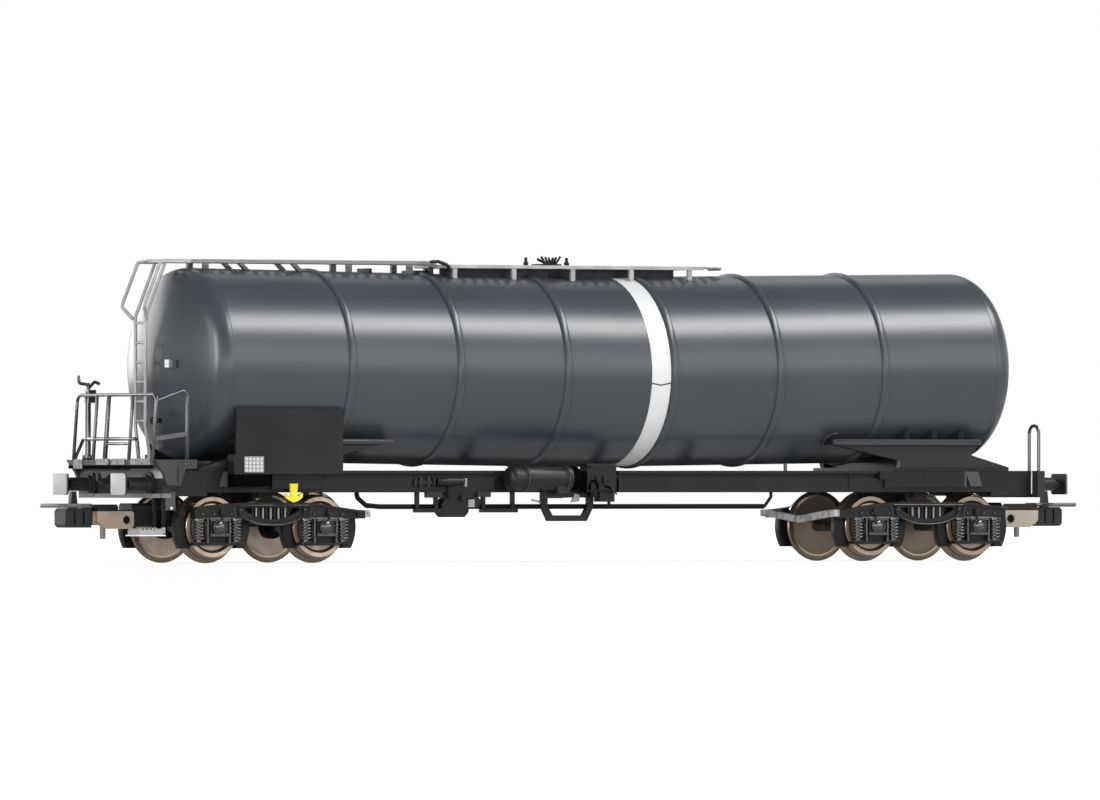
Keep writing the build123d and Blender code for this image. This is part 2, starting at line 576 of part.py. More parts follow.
def railing():
    """The end rail: leaning posts, rounded corners, and a side rail that rises to a post beside the tank."""
    corner = [(-RAIL_X, -RAIL_Y, DECK_TOP_Z), (-RAIL_TOP_X, -RAIL_Y, RAIL_TOP_Z), (-RAIL_TOP_X, RAIL_Y, RAIL_TOP_Z),
              (-RAIL_X, RAIL_Y, DECK_TOP_Z)]
    shape = bent_bar(corner, 1.2, RAIL_R)
    shape += bent_bar([(-RAIL_TOP_X - 0.05, -RAIL_Y, RAIL_TOP_Z - 1.1), (-RAIL_IN_X, -RAIL_Y, RAIL_TOP_Z + RAIL_RISE),
                       (-RAIL_IN_X - 0.1, -RAIL_Y, DECK_TOP_Z)], 1.0, RAIL_R)
    strap = [(-RAIL_X + 0.4, KNEE_Z - STRAP_H / 2), (-RAIL_IN_X, KNEE_Z + 0.5),
             (-RAIL_IN_X, KNEE_Z + 0.5 + STRAP_H), (-RAIL_X + 0.4, KNEE_Z + STRAP_H / 2)]
    shape += plate_xz(strap, (-RAIL_Y - 0.2, -RAIL_Y + 0.2))
    for y, stout in POST_TABLE:
        shape += rod((-RAIL_X, y, DECK_TOP_Z), (-RAIL_TOP_X, y, RAIL_TOP_Z), RAIL_R * stout)
    knee_x = RAIL_X - RAIL_LEAN * (KNEE_Z - DECK_TOP_Z) / RAIL_H
    low_x = knee_x + 0.06
    shape += rod((-knee_x, -7.1, KNEE_Z), (-knee_x, KNEE_END_Y, KNEE_Z), RAIL_R)
    shape += rod((-low_x, POST_TABLE[0][0], KNEE_Z - 0.8), (-low_x, POST_TABLE[1][0], KNEE_Z - 0.8), RAIL_R * 0.8)
    foot = bent_bar([(-knee_x, -5.4, KNEE_Z), (-knee_x, -7.6, KNEE_Z), (-knee_x, -8.4, DECK_TOP_Z)], 0.8, RAIL_R)
    brace = rod((-RAIL_X + 0.2, RAIL_Y, DECK_TOP_Z), (-RAIL_X + 2.0, RAIL_Y, KNEE_Z + 0.2), RAIL_R)
    return (shape + foot + brace) & block((-RAIL_X - 2, -RAIL_IN_X + 2), (-20, 20), (DECK_TOP_Z, RAIL_TOP_Z + 4))


save("platform_railing", railing())

COLUMN_X = -DECK_OUT_X + 2.3
COLUMN_Y = 11.8
COLUMN_R = 0.5
CRANK_Z = RAIL_TOP_Z + 1.8


def brake_column():
    """The hand brake's column with its gear box and a three-pronged crank."""
    x, y = COLUMN_X, COLUMN_Y
    shape = rod((x, y, DECK_TOP_Z), (x, y, RAIL_TOP_Z + 0.6), COLUMN_R)
    shape += rod((x, y, RAIL_TOP_Z + 0.6), (x, y, CRANK_Z + 0.3), 0.3)
    shape += rod((x, y, DECK_TOP_Z), (x, y, DECK_TOP_Z + 0.8), COLUMN_R + 0.5)
    shape += block((x - 0.3, x + 1.2), (y - 0.7, y + 0.7), (RAIL_TOP_Z - 1.3, RAIL_TOP_Z + 0.9))
    shape += bent_bar([(x, y, CRANK_Z), (x - 1.7, y, CRANK_Z + 0.2), (x - 1.9, y, CRANK_Z + 1.5)], 0.4, 0.28)
    shape += bent_bar([(x, y, CRANK_Z - 0.7), (x + 1.3, y, CRANK_Z + 0.5), (x + 2.2, y, CRANK_Z + 0.1)], 0.4, 0.28)
    return shape


save("brake_column", brake_column())

LADDER_TOP_X = TANK_END_X - 2 * TANK_MID_X + 5.2
LADDER_TOP_Z = WALK_TOP_Z - WALK_T - 0.15
FOOT_TABLE = ((LADDER_HALF_W, 0.7), (-LADDER_HALF_W, -3.0))


def ladder():
    """Two stringers that lean over the head at the top and end on feet, with the rungs between them."""
    shape = None
    ankle_z = DECK_TOP_Z + 5.6
    for y, foot_y in FOOT_TABLE:
        path = [(-LADDER_X, foot_y, DECK_TOP_Z), (-LADDER_X, foot_y, DECK_TOP_Z + 1.4), (-LADDER_X, y, ankle_z),
                (-LADDER_X, y, LADDER_BEND_Z), (-LADDER_TOP_X, y, LADDER_TOP_Z)]
        stringer = bent_bar(path, 1.2, LADDER_R)
        shape = stringer if shape is None else shape + stringer
    count = int((LADDER_BEND_Z - ankle_z) / RUNG_PITCH) + 1
    for rung in range(count):
        z = ankle_z + 0.9 + rung * RUNG_PITCH
        shape += rod((-LADDER_X, -LADDER_HALF_W, z), (-LADDER_X, LADDER_HALF_W, z), LADDER_R * 0.8)
    return shape


save("ladder", ladder())

HOOP_TOP_Z = LADDER_TOP_Z + 0.3
HOOP_Y = 3.85
hoops = []
for side in SIDES.values():
    y = side * HOOP_Y
    path = [(-LADDER_TOP_X + 2.2, y, HOOP_TOP_Z), (-LADDER_TOP_X - 2.0, y, HOOP_TOP_Z),
            (-LADDER_TOP_X - 5.2, y, 43.2), (-LADDER_X - 0.1, y * 0.6, 41.0)]
    hoops.append(bent_bar(path, 0.8, LADDER_R))
save("ladder_hoops", *hoops)


# Roof walkway, centre platform and the fittings on it

def tank_top_z(x, y):
    """Height of the tank's surface over a point."""
    axis_z = TANK_MID_Z + abs(x - TANK_MID_X) * TANK_DROP / TANK_HALF
    return axis_z + sqrt(TANK_R**2 - y**2)


WALK_X = (-LADDER_TOP_X - 0.8, -LADDER_TOP_X - 0.8 + WALK_L)
LIP_T = 0.35
DECKING_T = 0.3
BRACKET_TABLE = ((0.153, 0.0), (0.272, 2.2), (0.468, 2.2), (0.68, 0.0), (0.905, 0.0))
LEG_PITCH = 11.7


def grating(x, half_w, z):
    """Cutters for the slots of a walkway's grating: rows across, in two lanes."""
    slots = []
    count = int((x[1] - x[0] - 1.2) / GRATING_PITCH)
    start = x[0] + ((x[1] - x[0]) - count * GRATING_PITCH) / 2
    for step in range(count):
        left = start + step * GRATING_PITCH + GRATING_BAR / 2
        for side in SIDES.values():
            slots.append(block((left, left + GRATING_PITCH - GRATING_BAR), (side * 0.4, side * (half_w - 0.7)), z))
    return slots


def walk_plate(x, half_w, top_z, depth):
    """A walkway: thin decking with slots, and lips along its edges."""
    deck_z = top_z - DECKING_T
    shape = block(x, (-half_w, half_w), (top_z - depth, top_z))
    shape -= block((x[0] + LIP_T, x[1] - LIP_T), (-half_w + LIP_T, half_w - LIP_T), (top_z - depth - 1, deck_z))
    return shape - grating(x, half_w, (top_z - 1, top_z + 1))


def roof_walkway():
    """The walkway from the ladder to the centre, on pairs of brackets, some of them slanted."""
    shape = walk_plate(WALK_X, WALK_HALF_W, WALK_TOP_Z, WALK_T)
    for share, slant in BRACKET_TABLE:
        x = WALK_X[0] + share * WALK_L
        low = tank_top_z(x + slant, WALK_HALF_W) - 0.3
        bracket = [(x - 0.5, WALK_TOP_Z - DECKING_T), (x + 0.5, WALK_TOP_Z - DECKING_T),
                   (x + slant + 0.5, low), (x + slant - 0.5, low)]
        for side in SIDES.values():
            shape += plate_xz(bracket, (side * (WALK_HALF_W - LIP_T), side * (WALK_HALF_W - 1.1)))
        shape += block((x - 0.5, x + 0.5), (-WALK_HALF_W + LIP_T, WALK_HALF_W - LIP_T),
                       (WALK_TOP_Z - WALK_T, WALK_TOP_Z - DECKING_T))
    return shape - seat_room


save("roof_walkway", roof_walkway())

PLATFORM_X = (TANK_MID_X - PLATFORM_HALF_L, TANK_MID_X + PLATFORM_HALF_L)
PLATFORM_TAPER = 6.0
HATCH_X = -4.3
HATCH_R = 3.4


def centre_platform():
    """The platform round the hatch: tapered at its ends, on legs that stand on the tank."""
    shape = walk_plate(PLATFORM_X, PLATFORM_HALF_W, PLATFORM_TOP_Z, PLATFORM_T)
    for step in (-2, -1, 0, 1, 2):
        x = TANK_MID_X - 3.0 + LEG_PITCH * step
        shape += block((x - 0.4, x + 0.4), (-PLATFORM_HALF_W + LIP_T, PLATFORM_HALF_W - LIP_T),
                       (PLATFORM_TOP_Z - PLATFORM_T, PLATFORM_TOP_Z - DECKING_T))
        for side in SIDES.values():
            low = tank_top_z(x, PLATFORM_HALF_W) - 0.3
            y = (side * (PLATFORM_HALF_W - 0.7), side * (PLATFORM_HALF_W - 0.1))
            shape += block((x - 0.4, x + 0.4), y, (low, PLATFORM_TOP_Z - DECKING_T))
    shape += rod((HATCH_X, 0, PLATFORM_TOP_Z - PLATFORM_T), (HATCH_X, 0, PLATFORM_TOP_Z), HATCH_R + 1.9)
    shape -= rod((HATCH_X, 0, PLATFORM_TOP_Z - 10), (HATCH_X, 0, PLATFORM_TOP_Z + 10), HATCH_R + 1.3)
    inner, outer = PLATFORM_HALF_W - 3.2, PLATFORM_HALF_W + 1
    for side in SIDES.values():
        corner = [(PLATFORM_X[1] - PLATFORM_TAPER, side * outer), (PLATFORM_X[1] + 1, side * outer),
                  (PLATFORM_X[1] + 1, side * inner), (PLATFORM_X[1], side * inner),
                  (PLATFORM_X[1] - PLATFORM_TAPER, side * PLATFORM_HALF_W)]
        cutter = extrude(make_face(Polyline(*corner, close=True)), amount=4, dir=(0, 0, 1))
        shape -= Pos(0, 0, PLATFORM_TOP_Z - 2) * cutter
    return shape - seat_room


save("centre_platform", centre_platform())

def hatch():
    """The round hatch: neck, lid with a rim, and a lever with two raised arms on it."""
    lid_z = PLATFORM_TOP_Z - 0.4
    seat_z = tank_top_z(HATCH_X, HATCH_R) - 0.2
    shape = rod((HATCH_X, 0, seat_z), (HATCH_X, 0, lid_z), HATCH_R - 0.4)
    shape += rod((HATCH_X, 0, lid_z), (HATCH_X, 0, lid_z + 0.4), HATCH_R)
    shape += rod((HATCH_X, 0, lid_z + 0.4), (HATCH_X, 0, lid_z + 0.7), HATCH_R - 0.8)
    shape += rod((HATCH_X, 0, lid_z + 0.7), (HATCH_X, 0, lid_z + 1.1), 0.6)
    for way in (-1, 1):
        shape += rod((HATCH_X, 0, lid_z + 0.8), (HATCH_X + way * 1.8, 0, lid_z + 1.55), 0.24)
    return shape - seat_room


save("hatch", hatch())

VENT_TIP_Z = PLATFORM_TOP_Z + 1.4
fittings = []
for x in (HATCH_X - 4.1, HATCH_X + 4.0):
    post = rod((x, 0, tank_top_z(x, 0) + 0.02), (x, 0, VENT_TIP_Z - 0.8), 0.45)
    foot = block((x - 0.55, x + 0.55), (-0.7, 0.7), (tank_top_z(x, 0) + 0.02, PLATFORM_TOP_Z - 0.8))
    fittings.append((post + foot + rod((x, 0, VENT_TIP_Z - 0.8), (x, 0, VENT_TIP_Z), 0.28)) - seat_room)
save("vent_posts", *fittings)


# Side boards and their brackets, lashing hooks, steps and grab loops

BOARD_X = (-FRAME_HALF_L + 13.7, -FRAME_HALF_L + 34.4)
BOARD_Y = 14.7
BOARD_T = 0.5
BOARD_Z = (SILL_TOP_Z - 0.6, SILL_TOP_Z + 10.4)
LOCKER_X = (BOARD_X[0] - 0.5, BOARD_X[0] + 6.4)
LOCKER_Z = (SILL_TOP_Z - 2.7, SILL_TOP_Z + 2.7)
BRACKET_X = (BOARD_X[0] + 8.0, BOARD_X[0] + 17.0)


def side_board(side):
    """The board for the car's data, with the locker at its foot and the bracket that holds it."""
    y_out = BOARD_Y + BOARD_T
    shape = block(BOARD_X, (side * BOARD_Y, side * y_out), BOARD_Z)
    shape += block((BRACKET_X[0] - 0.7, BRACKET_X[1] + 0.8), (side * SILL_Y_OUT, side * BOARD_Y),
                   (BOARD_Z[0], BOARD_Z[0] + 0.5))
    shape += block(BRACKET_X, (side * (SILL_Y_OUT + PANEL_T), side * (SILL_Y_OUT + PANEL_T + 0.5)),
                   (BOARD_Z[0] - 2.5, BOARD_Z[0] + 0.5))
    locker = block(LOCKER_X, (side * (SILL_Y_OUT + PANEL_T), side * (y_out + 0.3)), LOCKER_Z)
    edges = locker.edges().filter_by(Axis.Z).sort_by(Axis.X)[:2]
    shape += fillet(edges, 0.4)
    return shape - seat_room - side_sill(side)


save("side_boards", *[side_board(side) for side in SIDES.values()])

HOOK_X = BRACKET_X[0] + 4.0
HOOK_TOP_Z = BOARD_Z[0] - 1.6
HOOK_Y = SILL_Y_OUT + PANEL_T + 0.5 + SEAT_GAP
hooks = []
for side in SIDES.values():
    y = (side * HOOK_Y, side * (HOOK_Y + 0.5))
    curl = [(0.5, -1.9), (0.9, -2.2), (1.4, -1.6), (1.75, -1.7), (1.6, -2.4), (0.8, -2.9)]
    right = [(HOOK_X + x, HOOK_TOP_Z + z) for x, z in [(0.75, 0.0)] + curl]
    left = [(2 * HOOK_X - x, z) for x, z in reversed(right)]
    hooks.append(plate_xz(right + [(HOOK_X, HOOK_TOP_Z - 3.2)] + left, y))
save("lashing_hooks", *hooks)

STEP_Z = 4.8
STEP_T = 1.1
STEP_Y = (10.4, 14.3)
STEP_REACH = 4.5
RIB_PITCH = 0.75


def corner_step(end, side):
    """A ribbed tread under the corner of the headstock, on two hangers."""
    x_out, x_in = FRAME_HALF_L + STEP_REACH, FRAME_HALF_L
    top = STEP_Z + STEP_T
    shape = block((x_in, x_out), (side * STEP_Y[0], side * STEP_Y[1]), (STEP_Z, top - 0.25))
    for rib in range(int(STEP_REACH / RIB_PITCH)):
        x = x_in + 0.2 + rib * RIB_PITCH
        shape += block((x, x + RIB_PITCH / 2), (side * STEP_Y[0], side * STEP_Y[1]), (STEP_Z, top))
    for y in (side * (STEP_Y[1] - 0.4), side * (STEP_Y[0] + 0.4)):
        hanger_x = x_in - 0.4
        shape += rod((hanger_x, y, STEP_Z + 0.3), (hanger_x, y, SILL_TOP_Z - HEADSTOCK_H), 0.32)
        shape += rod((hanger_x, y, STEP_Z + 0.4), (x_in + 0.5, y, STEP_Z + 0.4), 0.32)
    return moved_to_end(end, shape)


save("corner_steps", corner_step(-1, -1), corner_step(1, 1))

GRAB_H = 7.8
GRAB_Y = (10.6, 13.6)
loops = []
for side in SIDES.values():
    x = FRAME_HALF_L - 0.7
    y0, y1 = side * GRAB_Y[0], side * GRAB_Y[1]
    path = [(x, y0, SILL_TOP_Z), (x, y0, SILL_TOP_Z + GRAB_H), (x, y1, SILL_TOP_Z + GRAB_H), (x, y1, SILL_TOP_Z)]
    loops.append(bent_bar(path, 1.4, RAIL_R))
save("grab_loops", *loops)


# Bogies, in their own frame with the pivot at x = 0 and the car's middle towards +x

OUTER_X = -14.9
INNER_X = 18.0
BEAM_T = 1.0
AXLE_X = AXLE_BASE / 2


CHORD_T = 0.4
RIM_T = 0.25
WINDOW_X = 5.5
BELLY_X = 5.9
BELLY_Z = 6.3
WINDOW_TOP_Z = 9.35
WINDOW_LOW_Z = 7.35
BOLSTER_BARS = (-3.4, -2.2, -0.8, 0.8, 2.2, 3.4)


def belly_band(top, low, x_half, z_ends, y):
    """A curved strip: one arc over another, joined at the ends."""
    upper = ThreePointArc((-x_half, z_ends + top - low), (0, top), (x_half, z_ends + top - low))
    right = Line((x_half, z_ends + top - low), (x_half, z_ends))
    lower = ThreePointArc((x_half, z_ends), (0, low), (-x_half, z_ends))
    left = Line((-x_half, z_ends), (-x_half, z_ends + top - low))
    face = make_face(Plane.XZ * (upper + right + lower + left))
    return Pos(0, min(y), 0) * extrude(face, amount=abs(y[1] - y[0]), dir=(0, 1, 0))


def frame_web():
    """The side frame's web: top chord, fish belly, and the window over the belly."""
    web_y = (SIDE_Y_IN, SIDE_Y_OUT - RIM_T)
    chord = [(OUTER_X, 9.4), (-9.0, 10.0), (-6.4, BOGIE_TOP_Z), (6.4, BOGIE_TOP_Z), (9.0, 10.0), (16.2, 9.0),
             (INNER_X, 8.9), (INNER_X, SPRING_TOP_Z)]
    edge = Polyline((-BELLY_X, SPRING_TOP_Z), (OUTER_X, SPRING_TOP_Z), *chord, (BELLY_X, SPRING_TOP_Z))
    edge += ThreePointArc((BELLY_X, SPRING_TOP_Z), (0, BELLY_Z), (-BELLY_X, SPRING_TOP_Z))
    web = extrude(make_face(Plane.XZ * edge), amount=web_y[1] - web_y[0], dir=(0, 1, 0))
    opening = Polyline((WINDOW_X, 9.0), (WINDOW_X - 0.3, WINDOW_TOP_Z), (-WINDOW_X + 0.3, WINDOW_TOP_Z),
                       (-WINDOW_X, 9.0))
    opening += ThreePointArc((-WINDOW_X, 9.0), (0, WINDOW_LOW_Z), (WINDOW_X, 9.0))
    window = extrude(make_face(Plane.XZ * opening), amount=4, dir=(0, 1, 0))
    web = Pos(0, web_y[0], 0) * web - Pos(0, web_y[0] - 1, 0) * window
    rim_y = (SIDE_Y_IN, SIDE_Y_OUT)
    under = [(x, z - CHORD_T) for x, z in reversed(chord[:-1])]
    web += plate_xz(chord[:-1] + under, rim_y)
    web += belly_band(BELLY_Z + CHORD_T, BELLY_Z, BELLY_X, SPRING_TOP_Z, rim_y)
    for x in (-6.2, 6.2):
        web += block((x - 0.25, x + 0.25), rim_y, (SPRING_TOP_Z, BOGIE_TOP_Z - 0.2))
    web += block((OUTER_X, INNER_X), rim_y, (SPRING_TOP_Z, SPRING_TOP_Z + 0.3)) - block((-5.2, 5.2), (8, 14), (0, 20))
    return web + block((INNER_X - 1.5, INNER_X), (SIDE_Y_IN, SIDE_Y_OUT), (SPRING_TOP_Z, 8.9))


def axle_guard(axle):
    """What stands at one axle: horn plate, box with its round cover, tie plate and spring seats."""
    horn_low = SPRING_SEAT_Z - 0.6
    horn = [(axle - 2.2, SPRING_TOP_Z), (axle - 1.9, horn_low), (axle + 1.9, horn_low),
            (axle + 2.2, SPRING_TOP_Z)]
    cut = 0.5
    box = [(axle - 1.65, 4.5 + cut), (axle - 1.65 + cut, 4.5), (axle + 1.65 - cut, 4.5), (axle + 1.65, 4.5 + cut),
           (axle + 1.65, SPRING_TOP_Z), (axle - 1.65, SPRING_TOP_Z)]
    shape = plate_xz(horn, (SIDE_Y_IN, SIDE_Y_IN + 0.9))
    shape += plate_xz(box, (SIDE_Y_IN + 0.9, SIDE_Y_OUT))
    shape += disc_y(axle, AXLE_Z, 1.2, (SIDE_Y_OUT, BOX_Y_OUT))
    shape += disc_y(axle, AXLE_Z, 0.6, (BOX_Y_OUT, BOX_Y_OUT + 0.2))
    shape += block((axle - 4.8, axle + 4.8), (SIDE_Y_IN, SIDE_Y_OUT), (horn_low, SPRING_SEAT_Z - 0.2))
    for offset in (-SPRING_SPREAD, SPRING_SPREAD):
        x, y = axle + offset, SIDE_Y_IN + 0.05 + SPRING_R
        shape += rod((x, y, SPRING_SEAT_Z - 0.5), (x, y, SPRING_SEAT_Z), SPRING_R + 0.2)
    shape += rod((axle + 0.5, SIDE_Y_OUT, SPRING_TOP_Z - 0.2), (axle + 0.5, SIDE_Y_OUT, 9.1), 0.28)
    shape += block((axle + 0.1, axle + 0.9), (SIDE_Y_OUT - 0.3, SIDE_Y_OUT + 0.35), (8.3, 8.8))
    return shape - disc_y(axle, AXLE_Z, JOURNAL_R + RUN_CLEARANCE, (SIDE_Y_IN - 1, SIDE_Y_OUT - 0.4))


def bogie_side(side):
    """One side frame with its two axle guards and the bolster's springs in its window."""
    shape = frame_web()
    for axle in (-AXLE_X, AXLE_X):
        shape += axle_guard(axle)
    for x in BOLSTER_BARS:
        shape += block((x - 0.22, x + 0.22), (SIDE_Y_IN, SIDE_Y_IN + 1.0), (BELLY_Z + 0.5, WINDOW_TOP_Z + 0.2))
    return mirrored(shape) if side < 0 else shape


def bogie_frame():
    """Both side frames, joined by the bolster that the car's pin stands in."""
    shape = bogie_side(-1) + bogie_side(1)
    shape += block((-2.8, 2.8), (-SIDE_Y_IN, SIDE_Y_IN), (SPRING_TOP_Z - 0.2, BOGIE_TOP_Z))
    shape -= rod((0, 0, 0), (0, 0, 20), PIN_R + RUN_CLEARANCE)
    return shape


def spring():
    """A coil spring as a ribbed column."""
    coils = 5
    pitch = (SPRING_TOP_Z - SPRING_SEAT_Z) / coils
    points = [(0, SPRING_SEAT_Z)]
    for turn in range(coils):
        z = SPRING_SEAT_Z + turn * pitch
        points += [(SPRING_R * 0.72, z), (SPRING_R, z + pitch / 2)]
    points += [(SPRING_R * 0.72, SPRING_TOP_Z), (0, SPRING_TOP_Z)]
    return revolve(make_face(Plane.XZ * Polyline(*points, close=True)), axis=Axis.Z)


def bogie_springs():
    """Two springs beside each axle box."""
    coil = spring()
    spring_y = SIDE_Y_IN + 0.05 + SPRING_R
    solids = []
    for axle in (-AXLE_X, AXLE_X):
        for offset in (-SPRING_SPREAD, SPRING_SPREAD):
            for side in SIDES.values():
                solids.append(Pos(axle + offset, side * spring_y, 0) * coil)
    return solids


SHOE_T = 1.1
HOLDER_T = 0.45


def brake_shoe(axle, way, side):
    """A shoe along the tread with its holder and hanger, held by the side frame."""
    inner = TREAD_R + SHOE_GAP
    outer = inner + SHOE_T
    y = (side * (WHEEL_Y_IN + FLANGE_W + 0.25), side * WHEEL_Y_OUT)
    ring = disc_y(axle, AXLE_Z, outer, y) - disc_y(axle, AXLE_Z, inner, y)
    near_x, far_x = axle + way * 3.4, axle + way * (outer + 1)
    shape = ring & block((near_x, far_x), y, (AXLE_Z - 3.6, AXLE_Z + 2.0))
    holder = disc_y(axle, AXLE_Z, outer + HOLDER_T, y) - disc_y(axle, AXLE_Z, outer - 0.1, y)
    shape += holder & block((near_x, far_x), y, (AXLE_Z - 3.6, AXLE_Z + 2.0))
    hang_x = (axle + way * (inner - 0.1), axle + way * outer)
    shape += block(hang_x, (y[0], side * SIDE_Y_IN), (AXLE_Z + 1.7, AXLE_Z + 3.0))
    return shape


def brake_shoes():
    """Eight shoes, one on each side of each wheel."""
    solids = []
    for axle in (-AXLE_X, AXLE_X):
        for way in (-1, 1):
            for side in SIDES.values():
                solids.append(brake_shoe(axle, way, side))
    return solids


def end_beam():
    """The shallow V beam between the side frames' inner lugs."""
    half, flat = SIDE_Y_OUT, 2.0
    top, low, dip = 8.9, 7.7, 1.05
    outline = [(-half, top), (-half + flat, top), (0, top - dip), (half - flat, top), (half, top),
               (half, low), (half - flat, low), (0, low - dip), (-half + flat, low), (-half, low)]
    return plate_yz(outline, (INNER_X, INNER_X + BEAM_T))


def place_bogie(end, shape):
    """Move a piece from the bogie's frame to its end of the car."""
    if end > 0:
        shape = Rot(0, 0, 180) * shape
    return Pos(end * PIVOT_X, 0, 0) * shape


frame_solid = bogie_frame()
spring_solids = bogie_springs()
shoe_solids = brake_shoes()
beam_solid = end_beam()
for end_name, end in ENDS.items():
    save(f"bogie_frame_{end_name}", place_bogie(end, frame_solid))
    save(f"springs_{end_name}", *[place_bogie(end, solid) for solid in spring_solids])
    save(f"brake_shoes_{end_name}", *[place_bogie(end, solid) for solid in shoe_solids])
    save(f"bogie_end_beam_{end_name}", place_bogie(end, beam_solid))


# Wheelsets: two wheels pressed on an axle whose journals run in the axle boxes

def wheel():
    """A wheel on the far side: tread, flange, dished web and hub about the Y axis."""
    y0 = WHEEL_Y_IN
    outline = [(AXLE_R, y0 + 0.2), (AXLE_R + 0.9, y0 + 0.2), (AXLE_R + 1.3, y0 + 0.8), (TREAD_R - 1.1, y0 + 0.8),
               (TREAD_R - 0.7, y0), (FLANGE_R - 0.25, y0), (FLANGE_R, y0 + 0.3), (FLANGE_R, y0 + 0.5),
               (TREAD_R + 0.12, y0 + FLANGE_W), (TREAD_R, WHEEL_Y_OUT), (TREAD_R - 0.9, WHEEL_Y_OUT),
               (TREAD_R - 1.1, WHEEL_Y_OUT - 0.6), (AXLE_R + 1.0, WHEEL_Y_OUT - 0.6),
               (AXLE_R + 0.8, WHEEL_Y_OUT - 0.1), (AXLE_R, WHEEL_Y_OUT - 0.1)]
    face = make_face(Polyline(*outline, close=True))
    return Pos(0, 0, AXLE_Z) * revolve(face, axis=Axis.Y)


def axle():
    """The axle, stepped down to its journals."""
    tip = SIDE_Y_OUT - 0.6
    shape = rod((0, -WHEEL_Y_OUT + 0.1, AXLE_Z), (0, WHEEL_Y_OUT - 0.1, AXLE_Z), AXLE_R)
    return shape + rod((0, -tip, AXLE_Z), (0, tip, AXLE_Z), JOURNAL_R)


wheel_far = wheel()
wheel_near = mirrored(wheel_far)
axle_solid = axle()
for end_name, end in ENDS.items():
    for number, way in enumerate((-1, 1), start=1):
        x = end * PIVOT_X + way * AXLE_X
        save(f"wheels_{end_name}{number}", Pos(x, 0, 0) * wheel_far, Pos(x, 0, 0) * wheel_near)
        save(f"axle_{end_name}{number}", Pos(x, 0, 0) * axle_solid)


# Couplers: a swinging pocket with hook, head and wire loop

POCKET_OUT_X = COUPLER_PIVOT_X + 9.6
POCKET_IN_X = COUPLER_PIVOT_X + 4.0
HEAD_IN_X = COUPLER_TIP_X - 6.6
HEAD_OUT_X = COUPLER_TIP_X - 1.6
PLATE_Y = (-2.9, -2.35)
EYE_R = 0.7


def coupler_pocket(end):
    """The bar from the pivot to the pocket that holds the coupling."""
    x = COUPLER_PIVOT_X
    shape = rod((x, 0, COUPLER_Z - 0.8), (x, 0, COUPLER_Z + 0.8), 1.9)
    shape += block((x, POCKET_OUT_X), (-1.5, 1.5), (COUPLER_Z - 0.8, COUPLER_Z + 0.8))
    pocket = block((POCKET_IN_X, POCKET_OUT_X - 1.8), (-2.3, 2.3), (COUPLER_Z - 1.95, COUPLER_Z + 1.95))
    shape += chamfer(pocket.edges().filter_by(Axis.X), 0.4)
    shape -= rod((x, 0, 0), (x, 0, 20), COUPLER_PIN_R + RUN_CLEARANCE)
    return moved_to_end(end, shape)


def hook_plate():
    """The side plate with its eye: one corner rounded, one cut off."""
    x0, x1 = POCKET_OUT_X - 1.8, POCKET_OUT_X + 5.2
    low, top = COUPLER_Z - 2.35, COUPLER_Z + 0.65
    outline = [(x0, low + 0.5), (x0 + 0.5, low), (x1 - 1.7, low), (x1, low + 1.2), (x1, top + 0.5), (x1 - 1.0, top + 0.3),
               (x1 - 1.6, top), (x0 + 0.3, top), (x0, top - 0.3)]
    eye = disc_y(x0 + 1.35, low + 1.5, EYE_R, (PLATE_Y[0] - 1, PLATE_Y[1] + 0.3))
    return plate_xz(outline, (PLATE_Y[0], PLATE_Y[1] + 0.6)) - eye


def coupler_head(end):
    """The hook plate, the core with its latch, the head block in three ribs and its tapered horn."""
    core = block((POCKET_OUT_X, HEAD_IN_X), (-1.8, 1.1), (COUPLER_Z - 1.75, COUPLER_Z + 0.55))
    latch = block((POCKET_OUT_X + 0.3, HEAD_IN_X + 0.2), (-1.3, 1.0), (COUPLER_Z + 0.5, COUPLER_Z + 1.75))
    latch = chamfer(latch.edges().filter_by(Axis.Y).sort_by(Axis.Z)[-2:], 0.35)
    head = block((HEAD_IN_X, HEAD_OUT_X), (-1.9, 1.9), (COUPLER_Z - 2.15, COUPLER_Z + 1.15))
    head = chamfer(head.edges().filter_by(Axis.Y).sort_by(Axis.X)[-2:], 0.5)
    for x in (HEAD_IN_X + 1.5, HEAD_IN_X + 3.2):
        head -= block((x - 0.15, x + 0.15), (-2.5, -1.6), (COUPLER_Z - 1.6, COUPLER_Z + 0.7))
        head -= block((x - 0.15, x + 0.15), (1.6, 2.5), (COUPLER_Z - 1.6, COUPLER_Z + 0.7))
    top = COUPLER_Z + 1.15
    horn = plate_xz([(HEAD_IN_X + 1.8, top), (HEAD_IN_X + 3.2, top), (HEAD_IN_X + 2.9, top + 2.8),
                     (HEAD_IN_X + 2.1, top + 2.8)], (-0.5, 0.5))
    pin_x = POCKET_OUT_X + 2.6
    pin = rod((pin_x, 0, COUPLER_Z - 4.05), (pin_x, 0, COUPLER_Z - 1.75), 0.5)
    return moved_to_end(end, hook_plate() + core + latch + head + horn + pin)


def coupler_loop(end):
    """The wire loop that drops over the next car's hook."""
    z, half = COUPLER_Z + 1.15 + LOOP_R + 0.05, LOOP_HALF_W
    inner_x = HEAD_IN_X + 1.0
    path = [(inner_x, -0.8, z), (inner_x, -half, z), (COUPLER_TIP_X, -half, z),
            (COUPLER_TIP_X, half, z), (inner_x, half, z), (inner_x, 0.8, z)]
    return moved_to_end(end, bent_bar(path, 0.9, LOOP_R))


for end_name, end in ENDS.items():
    save(f"coupler_pocket_{end_name}", coupler_pocket(end))
    save(f"coupler_head_{end_name}", coupler_head(end))
    save(f"coupler_loop_{end_name}", coupler_loop(end))
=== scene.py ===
import json
from math import asin, cos, pi, radians, sin, sqrt

import bpy
from mathutils import Matrix, Vector


